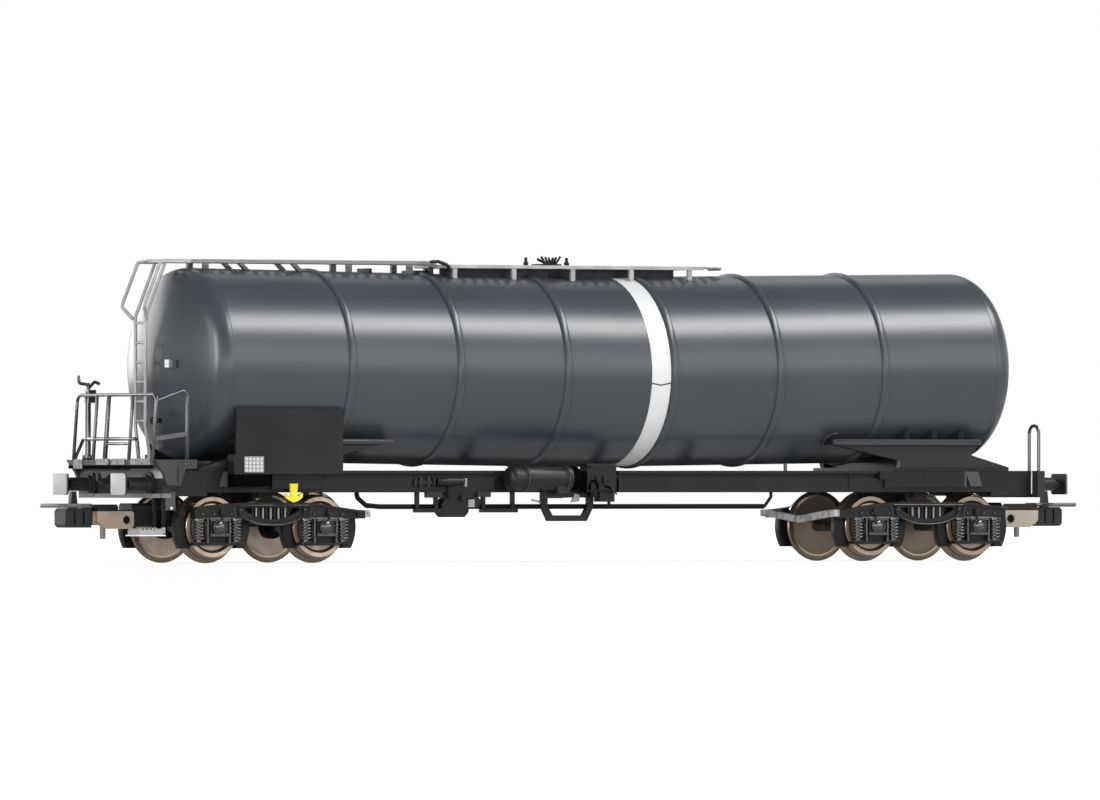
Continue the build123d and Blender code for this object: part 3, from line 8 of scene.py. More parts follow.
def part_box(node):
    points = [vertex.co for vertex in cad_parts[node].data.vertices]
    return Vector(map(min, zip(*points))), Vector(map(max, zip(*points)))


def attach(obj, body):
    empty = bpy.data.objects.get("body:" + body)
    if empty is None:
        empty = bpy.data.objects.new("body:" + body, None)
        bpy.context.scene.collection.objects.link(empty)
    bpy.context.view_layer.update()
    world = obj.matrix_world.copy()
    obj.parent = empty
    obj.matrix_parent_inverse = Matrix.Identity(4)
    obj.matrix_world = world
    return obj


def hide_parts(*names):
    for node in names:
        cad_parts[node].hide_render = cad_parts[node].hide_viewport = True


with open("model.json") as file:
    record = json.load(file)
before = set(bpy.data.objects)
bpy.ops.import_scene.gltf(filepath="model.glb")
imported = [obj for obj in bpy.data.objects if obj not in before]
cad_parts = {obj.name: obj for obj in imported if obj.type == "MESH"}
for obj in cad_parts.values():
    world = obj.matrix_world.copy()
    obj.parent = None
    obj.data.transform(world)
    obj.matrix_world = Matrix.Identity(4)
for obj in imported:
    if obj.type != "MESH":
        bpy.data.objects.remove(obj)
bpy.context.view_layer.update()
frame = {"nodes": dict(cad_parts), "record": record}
nodes = frame["nodes"]
MM = 0.001
SIDES = (-1, 1)
ENDS = (("a", -1), ("b", 1))


# Camera, as fitted to the photograph's wheels, buffers and frame

CAMERA_DISTANCE = 2556.5
CAMERA_AZIMUTH = 0.5419
CAMERA_HEIGHT = 13.63
CAMERA_YAW = -0.0012
CAMERA_PITCH = 0.0055
FOCAL_PIXELS = 14947.0
PICTURE_WIDTH = 1100.0
SENSOR_WIDTH = 36.0


def show(item):
    """Puts an object into the scene."""
    bpy.context.scene.collection.objects.link(item)


def facing(way):
    """The rotation that points a camera or a lamp along a direction."""
    return way.to_track_quat("-Z", "Y").to_matrix().to_4x4()


def make_camera():
    data = bpy.data.cameras.new("camera")
    camera = bpy.data.objects.new("camera", data)
    show(camera)
    data.sensor_width = SENSOR_WIDTH
    data.lens = SENSOR_WIDTH * FOCAL_PIXELS / PICTURE_WIDTH
    data.clip_start = 0.1
    data.clip_end = 100.0
    heading = CAMERA_AZIMUTH + CAMERA_YAW
    level = cos(CAMERA_PITCH)
    forward = Vector((sin(heading) * level, cos(heading) * level, sin(CAMERA_PITCH)))
    left = -CAMERA_DISTANCE * sin(CAMERA_AZIMUTH)
    back = -CAMERA_DISTANCE * cos(CAMERA_AZIMUTH)
    place = Vector((left, back, CAMERA_HEIGHT))
    camera.matrix_world = Matrix.Translation(place * MM) @ facing(forward)
    bpy.context.scene.camera = camera


# Shader nodes

WHITE = (1, 1, 1, 1)


def link(tree, start, end):
    tree.links.new(start, end)


def add_node(tree, kind, values=None, operation=None):
    """A new shader node, with the values of its inputs by name or number."""
    node = tree.nodes.new("ShaderNode" + kind)
    if operation:
        node.operation = operation
    for name, value in (values or {}).items():
        node.inputs[name].default_value = value
    return node


def combined(tree, operation, first, second):
    """The outcome of an operation on two outputs."""
    node = add_node(tree, "Math", operation=operation)
    link(tree, first, node.inputs[0])
    link(tree, second, node.inputs[1])
    return node.outputs[0]


def mixed_shaders(tree, share, first, second):
    """A shader that goes from the first to the second as the share grows."""
    mix = add_node(tree, "MixShader")
    link(tree, share, mix.inputs[0])
    link(tree, first.outputs[0], mix.inputs[1])
    link(tree, second.outputs[0], mix.inputs[2])
    return mix


def smooth_range(tree, start, end, low, high):
    """A soft change from low to high while a value goes from start to end."""
    values = {"From Min": start, "From Max": end, "To Min": low, "To Max": high}
    node = add_node(tree, "MapRange", values)
    node.interpolation_type = "SMOOTHSTEP"
    return node


def seen_directly(tree):
    """The kinds of ray, and 1 on those that see the white background."""
    path = add_node(tree, "LightPath")
    seen = combined(tree, "MAXIMUM", path.outputs["Is Camera Ray"], path.outputs["Is Glossy Ray"])
    return path, combined(tree, "MAXIMUM", seen, path.outputs["Is Transmission Ray"])


# World, floor and lamps

SKY_LIGHT = 0.42
CEILING_GLOSS = 0.12
CEILING_START = 0.1
CEILING_END = 0.5


def make_world():
    """Even soft light; white to the eye, and dim overhead in reflections."""
    world = bpy.data.worlds.new("world")
    bpy.context.scene.world = world
    world.use_nodes = True
    tree = world.node_tree
    tree.nodes.clear()
    path, direct = seen_directly(tree)
    place = add_node(tree, "TexCoord")
    split = add_node(tree, "SeparateXYZ")
    height = smooth_range(tree, CEILING_START, CEILING_END, 1.0, CEILING_GLOSS)
    link(tree, place.outputs["Generated"], split.inputs[0])
    link(tree, split.outputs["Z"], height.inputs["Value"])
    soft = add_node(tree, "Background", {"Color": WHITE, "Strength": SKY_LIGHT})
    mirrored = add_node(tree, "Background", {"Color": WHITE})
    link(tree, height.outputs[0], mirrored.inputs["Strength"])
    white = add_node(tree, "Background", {"Color": WHITE, "Strength": 1.0})
    inner = mixed_shaders(tree, direct, soft, mirrored)
    outer = mixed_shaders(tree, path.outputs["Is Camera Ray"], inner, white)
    out = add_node(tree, "OutputWorld")
    link(tree, outer.outputs[0], out.inputs[0])


FLOOR_HALF = 3.0
FLOOR_COLOUR = (0.86, 0.86, 0.86, 1)
SHADOW_NEAR = 0.10
SHADOW_FAR = 0.26
SHADOW_SHARE = 0.4
SHADOW_SQUEEZE = (0.8, 1.0, 1.0)
FLOOR_WHITE = 1.25
FLOOR_GLOSS = 0.42


def floor_material():
    """Pale near the car, where it keeps the shadow, and plain white farther off."""
    material = bpy.data.materials.new("floor")
    material.use_nodes = True
    tree, shader = opened(material)
    shader.inputs["Base Color"].default_value = FLOOR_COLOUR
    shader.inputs["Roughness"].default_value = 0.9
    shader.inputs["Specular IOR Level"].default_value = 0.0
    glow = add_node(tree, "Emission", {"Color": WHITE})
    place = add_node(tree, "TexCoord")
    squeeze = add_node(tree, "Mapping", {"Scale": SHADOW_SQUEEZE})
    reach = add_node(tree, "VectorMath", operation="LENGTH")
    fade = smooth_range(tree, SHADOW_NEAR, SHADOW_FAR, 1.0 - SHADOW_SHARE, 1.0)
    link(tree, place.outputs["Object"], squeeze.inputs[0])
    link(tree, squeeze.outputs[0], reach.inputs[0])
    link(tree, reach.outputs["Value"], fade.inputs["Value"])
    path, direct = seen_directly(tree)
    strength = add_node(tree, "MapRange", {"To Min": FLOOR_GLOSS, "To Max": FLOOR_WHITE})
    link(tree, path.outputs["Is Camera Ray"], strength.inputs["Value"])
    link(tree, strength.outputs[0], glow.inputs["Strength"])
    share = combined(tree, "MULTIPLY", fade.outputs[0], direct)
    mix = mixed_shaders(tree, share, shader, glow)
    link(tree, mix.outputs[0], tree.nodes["Material Output"].inputs[0])
    return material


def make_stage():
    """A square floor at the level of the flanges."""
    mesh = bpy.data.meshes.new("floor")
    size = FLOOR_HALF
    corners = [(-size, -size, 0), (size, -size, 0), (size, size, 0), (-size, size, 0)]
    mesh.from_pydata(corners, [], [(0, 1, 2, 3)])
    floor = bpy.data.objects.new("floor", mesh)
    show(floor)
    mesh.materials.append(floor_material())


def lamp(name, place, aim, size, watts):
    """A rectangular lamp, placed and aimed in metres."""
    data = bpy.data.lights.new(name, "AREA")
    data.shape = "RECTANGLE"
    data.size = size[0]
    data.size_y = size[1]
    data.energy = watts
    light = bpy.data.objects.new(name, data)
    show(light)
    way = Vector(aim) - Vector(place)
    light.matrix_world = Matrix.Translation(place) @ facing(way)


def make_lamps():
    lamp("top_softbox", (0.5, -0.42, 0.68), (0, 0, 0.04), (0.85, 0.2), 8.6)
    lamp("front_fill", (-1.0, -0.56, 0.17), (0, 0, 0.02), (0.26, 0.95), 9.0)
    lamp("floor_fill", (-0.3, -1.3, 0.07), (0, 0, 0.01), (1.3, 0.1), 2.6)
    lamp("low_fill", (0.55, -0.9, 0.26), (0, 0, 0.03), (0.95, 0.46), 2.5)
    lamp("left_fill", (-0.8, -0.1, 0.25), (0, 0, 0.02), (0.3, 0.5), 1.5)
    lamp("left_back", (-0.3, 1.15, 0.2), (-0.08, 0, 0.05), (1.0, 0.6), 6.5)
    lamp("back_rim", (0.2, 0.7, 0.6), (0, 0, 0.03), (0.9, 0.3), 0.8)


# Ways to make a material

def opened(material):
    """A material's node tree and its main shader."""
    return material.node_tree, material.node_tree.nodes["Principled BSDF"]


def principled(name, colour, roughness, metallic=0.0, coat=0.0, specular=0.5):
    material = bpy.data.materials.new(name)
    material.use_nodes = True
    shader = opened(material)[1]
    shader.inputs["Base Color"].default_value = (*colour, 1)
    shader.inputs["Roughness"].default_value = roughness
    shader.inputs["Metallic"].default_value = metallic
    shader.inputs["Coat Weight"].default_value = coat
    shader.inputs["Specular IOR Level"].default_value = specular
    return material


def surface_noise(tree, scale, detail):
    """Noise over the surface, in the part's own coordinates."""
    place = add_node(tree, "TexCoord")
    noise = add_node(tree, "TexNoise", {"Scale": scale, "Detail": detail})
    link(tree, place.outputs["Object"], noise.inputs["Vector"])
    return noise


def mottled(material, colour, other, scale, low=0.42, high=0.62):
    """Slow variation between two colours over the surface."""
    tree, shader = opened(material)
    noise = surface_noise(tree, scale, 5)
    ramp = add_node(tree, "ValToRGB")
    for end, position, tint in zip(ramp.color_ramp.elements, (low, high), (colour, other)):
        end.position = position
        end.color = (*tint, 1)
    link(tree, noise.outputs[0], ramp.inputs[0])
    link(tree, ramp.outputs[0], shader.inputs["Base Color"])


def rough_by_noise(material, scale, low, high, bump, distance=0.00002):
    """Roughness that varies over the surface, with a fine bump."""
    tree, shader = opened(material)
    noise = surface_noise(tree, scale, 6)
    span = add_node(tree, "MapRange", {"To Min": low, "To Max": high})
    link(tree, noise.outputs[0], span.inputs["Value"])
    link(tree, span.outputs[0], shader.inputs["Roughness"])
    height = add_node(tree, "Bump", {"Strength": bump, "Distance": distance})
    link(tree, noise.outputs[0], height.inputs["Height"])
    link(tree, height.outputs[0], shader.inputs["Normal"])


def inside_box(tree, spans):
    """1 inside a box of the part's own coordinates, given as axis, low and high in millimetres."""
    place = add_node(tree, "TexCoord")
    split = add_node(tree, "SeparateXYZ")
    link(tree, place.outputs["Object"], split.inputs[0])
    inside = None
    for axis, low, high in spans:
        for operation, limit in (("GREATER_THAN", low), ("LESS_THAN", high)):
            test = add_node(tree, "Math", {1: limit * MM}, operation)
            link(tree, split.outputs[axis], test.inputs[0])
            outcome = test.outputs[0]
            inside = combined(tree, "MULTIPLY", inside, outcome) if inside else outcome
    return inside


def by_place(material, spans, colour, dull=False):
    """A second colour inside a box; dull takes the shine off there too."""
    tree, shader = opened(material)
    inside = inside_box(tree, spans)
    mix = add_node(tree, "Mix")
    mix.data_type = "RGBA"
    factor, first, second = mix.inputs[0], mix.inputs[6], mix.inputs[7]
    base = shader.inputs["Base Color"]
    if base.is_linked:
        link(tree, base.links[0].from_socket, first)
    else:
        first.default_value = base.default_value
    second.default_value = (*colour, 1)
    link(tree, inside, factor)
    link(tree, mix.outputs[2], base)
    if dull:
        gloss = shader.inputs["Specular IOR Level"]
        shine = add_node(tree, "MapRange", {"To Min": gloss.default_value, "To Max": 0.0})
        link(tree, inside, shine.inputs["Value"])
        link(tree, shine.outputs[0], gloss)


# Paint and plastics; spans are in millimetres of the part

BLACK = (0.004, 0.004, 0.004)
DEEP_BLACK = (0.002, 0.002, 0.002)
SOFT_BLACK = (0.012, 0.0125, 0.0135)
BLACK_LOW = (0.007, 0.0074, 0.008)
BLACK_HIGH = (0.01, 0.0105, 0.0112)
PLAIN_END = ("X", 0, 100)
PLATFORM_END = ("X", -100, 0)
FINE = 2500


def tank_paint():
    paint = principled("tank_paint", (0.036, 0.041, 0.048), 0.32)
    mottled(paint, (0.034, 0.039, 0.046), (0.039, 0.044, 0.052), 40)
    rough_by_noise(paint, 900, 0.26, 0.32, bump=0.03)
    return paint


def black_plastic():
    """Frame and bogies, with a paler patch on the near sill's face towards each end."""
    plastic = principled("black_plastic", (0.006, 0.0064, 0.007), 0.45, specular=0.22)
    mottled(plastic, (0.005, 0.0053, 0.006), (0.0075, 0.008, 0.0087), 120)
    rough_by_noise(plastic, FINE, 0.38, 0.55, bump=0.12)
    for low, high in ((72.3, 76.0), (-76.0, -72.3)):
        patch = [("X", low, high), ("Y", -13.1, -12.41), ("Z", 12.85, 15.5)]
        by_place(plastic, patch, (0.05, 0.05, 0.051))
    return plastic


def saddle_plastic():
    """Black, with a darker copy of the tank's colour above the flange as painted shade, and a paler edge on
    the flange as a painted highlight.
    """
    saddle = principled("saddle_plastic", (0.008, 0.0085, 0.0092), 0.4, specular=0.3)
    mottled(saddle, BLACK_LOW, BLACK_HIGH, 120)
    rough_by_noise(saddle, FINE, 0.35, 0.5, bump=0.1)
    # Painted shade: a darker copy of the tank's colour, with no shine, above the flange.
    by_place(saddle, [("Z", 21.05, 40)], (0.018, 0.021, 0.025), dull=True)
    # Painted highlight: a paler edge on the near flange's outer face.
    by_place(saddle, [("Z", 20.15, 21.0), ("Y", -14.1, -13.6)], (0.02, 0.021, 0.022))
    return saddle


def rail_plastic():
    rail = principled("dark_grey_plastic", (0.02, 0.02, 0.021), 0.25, coat=0.6, specular=0.8)
    mottled(rail, (0.016, 0.016, 0.017), (0.026, 0.026, 0.027), 150)
    return rail


def deck_plastic():
    """The end platform: black along the foot of its outer edge, and pale on the wall over the headstock as a
    painted highlight.
    """
    deck = principled("deck_plastic", (0.022, 0.022, 0.023), 0.45, specular=0.35)
    mottled(deck, (0.019, 0.019, 0.02), (0.027, 0.027, 0.028), 150)
    rough_by_noise(deck, FINE, 0.4, 0.55, bump=0.1)
    by_place(deck, [("X", -89.9, -89.6), ("Z", 10, 16.5)], BLACK, dull=True)
    # Painted highlight: pale on the wall over the headstock.
    by_place(deck, [("X", -87.7, -87.4), ("Z", 15.5, 16.5), ("Y", -13.9, -3.0)], (0.2, 0.2, 0.2))
    return deck


def buffer_plastic():
    """Pale faces on dark shanks."""
    face = principled("buffer_face", (0.36, 0.36, 0.36), 0.45, specular=0.3)
    rough_by_noise(face, FINE, 0.4, 0.5, bump=0.05)
    by_place(face, [("X", -93.7, 93.7)], SOFT_BLACK)
    return face


def board_plastic():
    """The side boards with their lockers, which are black at the foot."""
    board = principled("board_plastic", (0.008, 0.0085, 0.0092), 0.5, specular=0.22)
    mottled(board, BLACK_LOW, BLACK_HIGH, 120)
    rough_by_noise(board, FINE, 0.42, 0.6, bump=0.12)
    by_place(board, [("Z", 0, 14.95), ("X", -80, -67.5)], DEEP_BLACK, dull=True)
    return board


def walkway_grey():
    """The roof's grey, darker on the walkway's decking and darker still below it, where the shade is painted.
    """
    grey = principled("silver_grey", (0.36, 0.36, 0.355), 0.42, metallic=0.2)
    mottled(grey, (0.26, 0.26, 0.257), (0.35, 0.35, 0.345), 200)
    rough_by_noise(grey, FINE, 0.35, 0.5, bump=0.1)
    walkway = ("X", -76, -28.5)
    by_place(grey, [walkway, ("Z", 50.2, 60)], (0.17, 0.17, 0.17))
    # Painted shade below the walkway's decking.
    by_place(grey, [walkway, ("Z", 48.0, 50.2)], (0.06, 0.06, 0.06))
    return grey


def headstock_plastic():
    """Black; at the platform end painted highlights make it paler at the foot and along the top of its outer
    face, brightest towards the near side.
    """
    beam = principled("headstock_plastic", SOFT_BLACK, 0.5, specular=0.3)
    rough_by_noise(beam, FINE, 0.4, 0.6, bump=0.3)
    # Painted highlight along the foot at the platform end.
    by_place(beam, [("Z", 10.0, 11.72), ("X", -90, 0)], (0.14, 0.14, 0.14))
    # Painted highlight along the top of the outer face: pale towards the near side, dimmer beyond.
    upper = [("Z", 14.3, 15.7), ("X", -87.8, -87.6)]
    by_place(beam, upper + [("Y", -14.6, -10.4)], (0.3, 0.3, 0.3))
    by_place(beam, upper + [("Y", -10.4, 12)], (0.08, 0.08, 0.08))
    return beam


def toe_plate_plastic():
    toe = principled("toe_plate", (0.45, 0.45, 0.45), 0.5)
    mottled(toe, (0.09, 0.09, 0.09), (0.24, 0.24, 0.24), 1500, low=0.4, high=0.6)
    rough_by_noise(toe, 3000, 0.4, 0.6, bump=0.5, distance=0.00005)
    return toe


def hook_yellow():
    yellow = principled("hook_yellow", (0.8, 0.56, 0.01), 0.45)
    mottled(yellow, (0.76, 0.52, 0.01), (0.85, 0.62, 0.02), 300)
    return yellow


def band_white():
    white = principled("band_white", (0.6, 0.61, 0.61), 0.4)
    mottled(white, (0.5, 0.51, 0.51), (0.54, 0.55, 0.55), 80)
    rough_by_noise(white, 900, 0.36, 0.46, bump=0.05)
    return white


def drum_plastic_painted_shade():
    """The air reservoir, with painted shade at the end towards the outlet box, where a dark recess follows
    it.
    """
    drum = principled("drum_plastic_painted_shade", (0.008, 0.0085, 0.009), 0.42, specular=0.3)
    # Painted shade: black with no shine at the end towards the outlet box.
    by_place(drum, [("X", -8.4, 0)], DEEP_BLACK, dull=True)
    return drum


# Metals

def end_beam_grey():
    beam = principled("beam_grey", (0.4, 0.4, 0.405), 0.55)
    mottled(beam, (0.12, 0.12, 0.124), (0.33, 0.33, 0.335), 900, low=0.38, high=0.56)
    rough_by_noise(beam, FINE, 0.45, 0.7, bump=0.6, distance=0.00006)
    return beam


def bright_metal():
    bright = principled("bright_metal", (0.62, 0.62, 0.61), 0.3, metallic=0.9)
    mottled(bright, (0.58, 0.58, 0.57), (0.66, 0.66, 0.65), 300)
    rough_by_noise(bright, 1800, 0.25, 0.36, bump=0.05)
    return bright


def wheel_face():
    """Burnished outer faces, with painted shade that makes them darker at the plain end."""
    wheel = principled("burnished_wheel", (0.55, 0.42, 0.32), 0.34, metallic=0.6)
    mottled(wheel, (0.36, 0.265, 0.195), (0.52, 0.4, 0.31), 420)
    rough_by_noise(wheel, 3000, 0.28, 0.45, bump=0.1)
    # Painted shade at the plain end.
    by_place(wheel, [PLAIN_END], (0.32, 0.24, 0.18))
    return wheel


def wheel_back_painted_light_and_shade():
    """Inner faces, with light and shade painted in: pale to stand in for the light under the car, darker at
    the plain end and above the axles, most of all at the platform end.
    """
    # A pale colour that stands in for light under the car.
    back = principled("wheel_back_painted_light_and_shade", (0.8, 0.64, 0.52), 0.5, metallic=0.1)
    mottled(back, (0.7, 0.54, 0.43), (0.86, 0.7, 0.58), 420)
    rough_by_noise(back, 3000, 0.4, 0.6, bump=0.1)
    # Painted shade at the plain end.
    by_place(back, [PLAIN_END], (0.36, 0.27, 0.205))
    # Painted shadow above the axles.
    by_place(back, [("Z", 6.7, 13)], (0.1, 0.075, 0.058))
    # Painted shadow, darkest, above the axles at the platform end.
    by_place(back, [("Z", 6.1, 13), PLATFORM_END], (0.03, 0.024, 0.02))
    return back


def axle_steel():
    axle = principled("axle_steel", (0.1, 0.09, 0.08), 0.14, metallic=0.8)
    mottled(axle, (0.08, 0.072, 0.064), (0.13, 0.12, 0.1), 300)
    return axle


def coupler_metal():
    """Brown plates: black at their tips and above, greyer below, and greyer and darker at the plain end as
    painted shade.
    """
    coupler = principled("coupler_metal", (0.42, 0.33, 0.26), 0.42, metallic=0.5)
    mottled(coupler, (0.33, 0.25, 0.19), (0.46, 0.37, 0.3), 260)
    rough_by_noise(coupler, 1800, 0.35, 0.5, bump=0.08)
    tip = 94.1
    by_place(coupler, [("X", tip, 200)], SOFT_BLACK)
    by_place(coupler, [("X", -200, -tip)], SOFT_BLACK)
    # Painted shade at the plain end.
    by_place(coupler, [("X", 80, tip)], (0.33, 0.285, 0.235))
    by_place(coupler, [("Z", 8.75, 20)], SOFT_BLACK)
    by_place(coupler, [("Z", 0, 5.75)], (0.25, 0.25, 0.26))
    return coupler


def step_metal():
    """Bright treads on dark hangers."""
    tread = principled("step_metal", (0.27, 0.27, 0.275), 0.4, metallic=0.3)
    rough_by_noise(tread, FINE, 0.35, 0.5, bump=0.1)
    by_place(tread, [("Z", 6.05, 30)], (0.014, 0.014, 0.015), dull=True)
    return tread


def make_materials():
    """Every material by the name that the pieces ask for."""
    plastic = black_plastic()
    return {
        "tank": tank_paint(),
        "frame": plastic,
        "gear": plastic,
        "bogie": plastic,
        "coil": principled("coil_wire", (0.014, 0.0145, 0.0155), 0.2, coat=0.5, specular=0.8),
        "saddle": saddle_plastic(),
        "rail_dark": rail_plastic(),
        "deck": deck_plastic(),
        "buffer": buffer_plastic(),
        "board": board_plastic(),
        # Black; on the platform end's hubs and in the couplers' eyes it is painted shade.
        "hole": principled("black_and_painted_shade", BLACK, 0.6, specular=0.1),
        "walkway_grey": walkway_grey(),
        "end_beam": end_beam_grey(),
        "bright_metal": bright_metal(),
        "wheel": wheel_face(),
        "wheel_back_painted_light_and_shade": wheel_back_painted_light_and_shade(),
        "tread": principled("polished_tread", (0.3, 0.235, 0.18), 0.2, metallic=0.9),
        "groove": principled("wheel_groove", (0.05, 0.035, 0.026), 0.5),
        "axle": axle_steel(),
        "coupler_metal": coupler_metal(),
        "loop_wire": principled("loop_wire", (0.07, 0.07, 0.072), 0.3),
        "headstock": headstock_plastic(),
        "step": step_metal(),
        "toe": toe_plate_plastic(),
        "hook_yellow": hook_yellow(),
        "white": band_white(),
        "plate_light": principled("plate_light", (0.6, 0.61, 0.62), 0.4),
        # Pale grey; on the bogie windows' bars it paints their highlights.
        "bar": principled("bar_grey", (0.2, 0.2, 0.205), 0.35),
        # Dark grey; on the frames' and saddles' edge lines it is paler than the black and paints highlights.
        "edge": principled("edge_grey_and_highlights", (0.035, 0.036, 0.038), 0.35),
        "drum": drum_plastic_painted_shade(),
    }


# The part's own nodes

DRESS = {"coupler_loop": "loop_wire", "headstock": "headstock", "corner_steps": "step",
         "buffers": "buffer", "end_platform": "deck", "side_boards": "board", "saddle": "saddle",
         "air_reservoir": "drum"}
EDGE_W = 0.07
EDGE_ANGLE = radians(40)
WELD = 0.004
UNROUNDED = ("tank_", "wheels_", "springs_", "axle_", "ladder", "grab_loops")


def round_edges(node):
    """Joins the facets' points and rounds the edges that a moulding tool leaves soft."""
    weld = node.modifiers.new("weld", "WELD")
    weld.merge_threshold = WELD * MM
    bevel = node.modifiers.new("bevel", "BEVEL")
    bevel.width = EDGE_W * MM
    bevel.segments = 2
    bevel.limit_method = "ANGLE"
    bevel.angle_limit = EDGE_ANGLE
    bevel.harden_normals = True


def dress_frame(materials):
    """Every node takes its slot's material or one of its own, and the moulded ones a fine rounded edge."""
    slots = {item["node"]: item["material_slot"] for item in frame["record"]["subparts"]}
    for name, node in nodes.items():
        if not name.startswith(UNROUNDED):
            round_edges(node)
        chosen = [slot for start, slot in DRESS.items() if name.startswith(start)]
        material = materials[chosen[0] if chosen else slots[name]]
        if not node.material_slots:
            node.data.materials.append(material)
        for index in range(len(node.material_slots)):
            node.material_slots[index].link = "OBJECT"
            node.material_slots[index].material = material


# Meshes; a shape is a list of points in millimetres and a list of faces

def mesh_piece(name, shape, body, materials, picks=None, smooth=40):
    """An object from a shape that rides on a body; picks gives each face its material."""
    points, faces = shape
    mesh = bpy.data.meshes.new(name)
    mesh.from_pydata([Vector(point) * MM for point in points], [], faces)
    for material in materials:
        mesh.materials.append(material)
    if picks:
        mesh.polygons.foreach_set("material_index", picks)
    mesh.shade_smooth()
    mesh.set_sharp_from_angle(angle=radians(smooth))
    mesh.update()
    piece = bpy.data.objects.new(name, mesh)
    show(piece)
    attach(piece, body)
    return piece


def circle(count):
    """Cosine and sine of evenly spaced angles, once round."""
    return [(cos(2 * pi * step / count), sin(2 * pi * step / count)) for step in range(count)]


def lathe(rings, closed_start=False, closed_end=False):
    """A tube through rings of points; each ring has the same number of points."""
    points = [point for ring in rings for point in ring]
    count = len(rings[0])
    faces = []
    for row in range(len(rings) - 1):
        for step in range(count):
            after = (step + 1) % count
            faces.append((row * count + step, row * count + after,
                          (row + 1) * count + after, (row + 1) * count + step))
    if closed_start:
        faces.append(tuple(reversed(range(count))))
    if closed_end:
        faces.append(tuple(range((len(rings) - 1) * count, len(rings) * count)))
    return points, faces


def merged(shapes):
    """One shape from several."""
    points, faces = [], []
    for more_points, more_faces in shapes:
        start = len(points)
        points += more_points
        faces += [tuple(start + index for index in face) for face in more_faces]
    return points, faces


def box(x, y, z):
    """A box between two values on each axis."""
    (x0, x1), (y0, y1), (z0, z1) = sorted(x), sorted(y), sorted(z)
    points = [(x0, y0, z0), (x1, y0, z0), (x1, y1, z0), (x0, y1, z0),
              (x0, y0, z1), (x1, y0, z1), (x1, y1, z1), (x0, y1, z1)]
    faces = [(3, 2, 1, 0), (4, 5, 6, 7), (0, 1, 5, 4), (1, 2, 6, 5), (2, 3, 7, 6), (3, 0, 4, 7)]
    return points, faces


def slab(outline, y):
    """A flat piece from an outline of (x, z) points, between two values of y."""
    near, far = sorted(y)
    count = len(outline)
    points = [(x, near, z) for x, z in outline] + [(x, far, z) for x, z in outline]
    faces = [tuple(range(count)), tuple(reversed(range(count, 2 * count)))]
    for step in range(count):
        after = (step + 1) % count
        faces.append((after, step, count + step, count + after))
    return points, faces


def wire(path, radius, sides=10):
    """A round wire along a path, with flat ends."""
    rings = []
    for index, point in enumerate(path):
        before = Vector(path[max(index - 1, 0)])
        after = Vector(path[min(index + 1, len(path) - 1)])
        way = (after - before).normalized()
        guide = Vector((1, 0, 0)) if abs(way.z) > 0.9 else Vector((0, 0, 1))
        across = way.cross(guide).normalized()
        up = across.cross(way)
        rings.append([tuple(Vector(point) + radius * (run * across + rise * up))
                      for run, rise in circle(sides)])
    return lathe(rings, closed_start=True, closed_end=True)


def stud(x, y, z, radius, height, side, sides=6):
    """A bolt head that stands out from a face towards one side of the car."""
    return wire([(x, y, z), (x, y + side * height, z)], radius, sides)


def ring_y(x, y, z, radius, thick, side):
    """A round bead about an axis along Y."""
    steps = 32
    rings = []
    for step in range(steps + 1):
        angle = 2 * pi * step / steps
        ring = []
        for run, rise in circle(6):
            reach = radius + thick * run
            ring.append((x + reach * cos(angle), y + side * thick * rise, z + reach * sin(angle)))
        rings.append(ring if side > 0 else list(reversed(ring)))
    return lathe(rings)


def dome_rows(radius, height, count):
    """Radius and lift of a dome's rings; the top one keeps a hair of radius."""
    rows = []
    for row in range(count + 1):
        tilt = pi / 2 * row / count
        rows.append((radius * cos(tilt) + 0.001, height * sin(tilt)))
    return rows


def dome_y(x, y, z, radius, height, side):
    """A shallow dome about an axis along Y."""
    rings = []
    for reach, lift in dome_rows(radius, height, 6):
        ring = [(x + reach * run, y + side * lift, z + reach * rise) for run, rise in circle(28)]
        rings.append(ring if side < 0 else list(reversed(ring)))
    return lathe(rings, closed_end=True)


def dome_x(x, y, z, radius, height):
    """A dome that closes a lying cylinder towards -X."""
    rings = [[(x - lift, y + reach * run, z + reach * rise) for run, rise in circle(16)]
             for reach, lift in dome_rows(radius, height, 5)]
    return lathe(rings, closed_end=True)


def arch(x, y, z, half, height, radius):
    """A bent handle that stands up in a plane along X."""
    shoulder = 0.45
    path = [(x - half, y, z)]
    for step in range(9):
        turn = pi * step / 8
        lift = height * shoulder + height * (1 - shoulder) * sin(turn)
        path.append((x - half * cos(turn), y, z + lift))
    return wire(path + [(x + half, y, z)], radius, 8)


def middle(name):
    """The middle of a node's box, and its half size, in millimetres."""
    low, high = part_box(name)
    return (low + high) / 2 / MM, (high - low) / 2 / MM


# Tank: barrel halves that fall to the middle, hoops, dished heads and the white band

TANK_R = 16.25
TANK_MID_X = 1.0
TANK_HALF = 76.0
TANK_DROP = 1.05
TANK_MID_Z = 32.45
HEAD_CROWN_R = 30.0
HEAD_KNUCKLE_R = 4.0
RING_W = 1.35
RING_PROUD = 0.4
RING_FOOT = 0.06
RING_OFFSETS = (10.6, 31.8, 53.0)
TANK_STEPS = 192
TANK_SMOOTH = 25
BAND = (6.0, 9.75)
SEAM_W = 0.12
SEAM_DEPTH = 0.05
TANK_SLANT = sqrt(TANK_HALF**2 + TANK_DROP**2)


def tank_point(way, along, radius, angle):
    """A point of the tank, given along the half axis towards way, out from it and round it."""
    run, rise = TANK_HALF / TANK_SLANT, TANK_DROP / TANK_SLANT
    x = along * run - radius * sin(angle) * rise
    z = along * rise + radius * sin(angle) * run
    return (TANK_MID_X + way * x, radius * cos(angle), TANK_MID_Z + z)


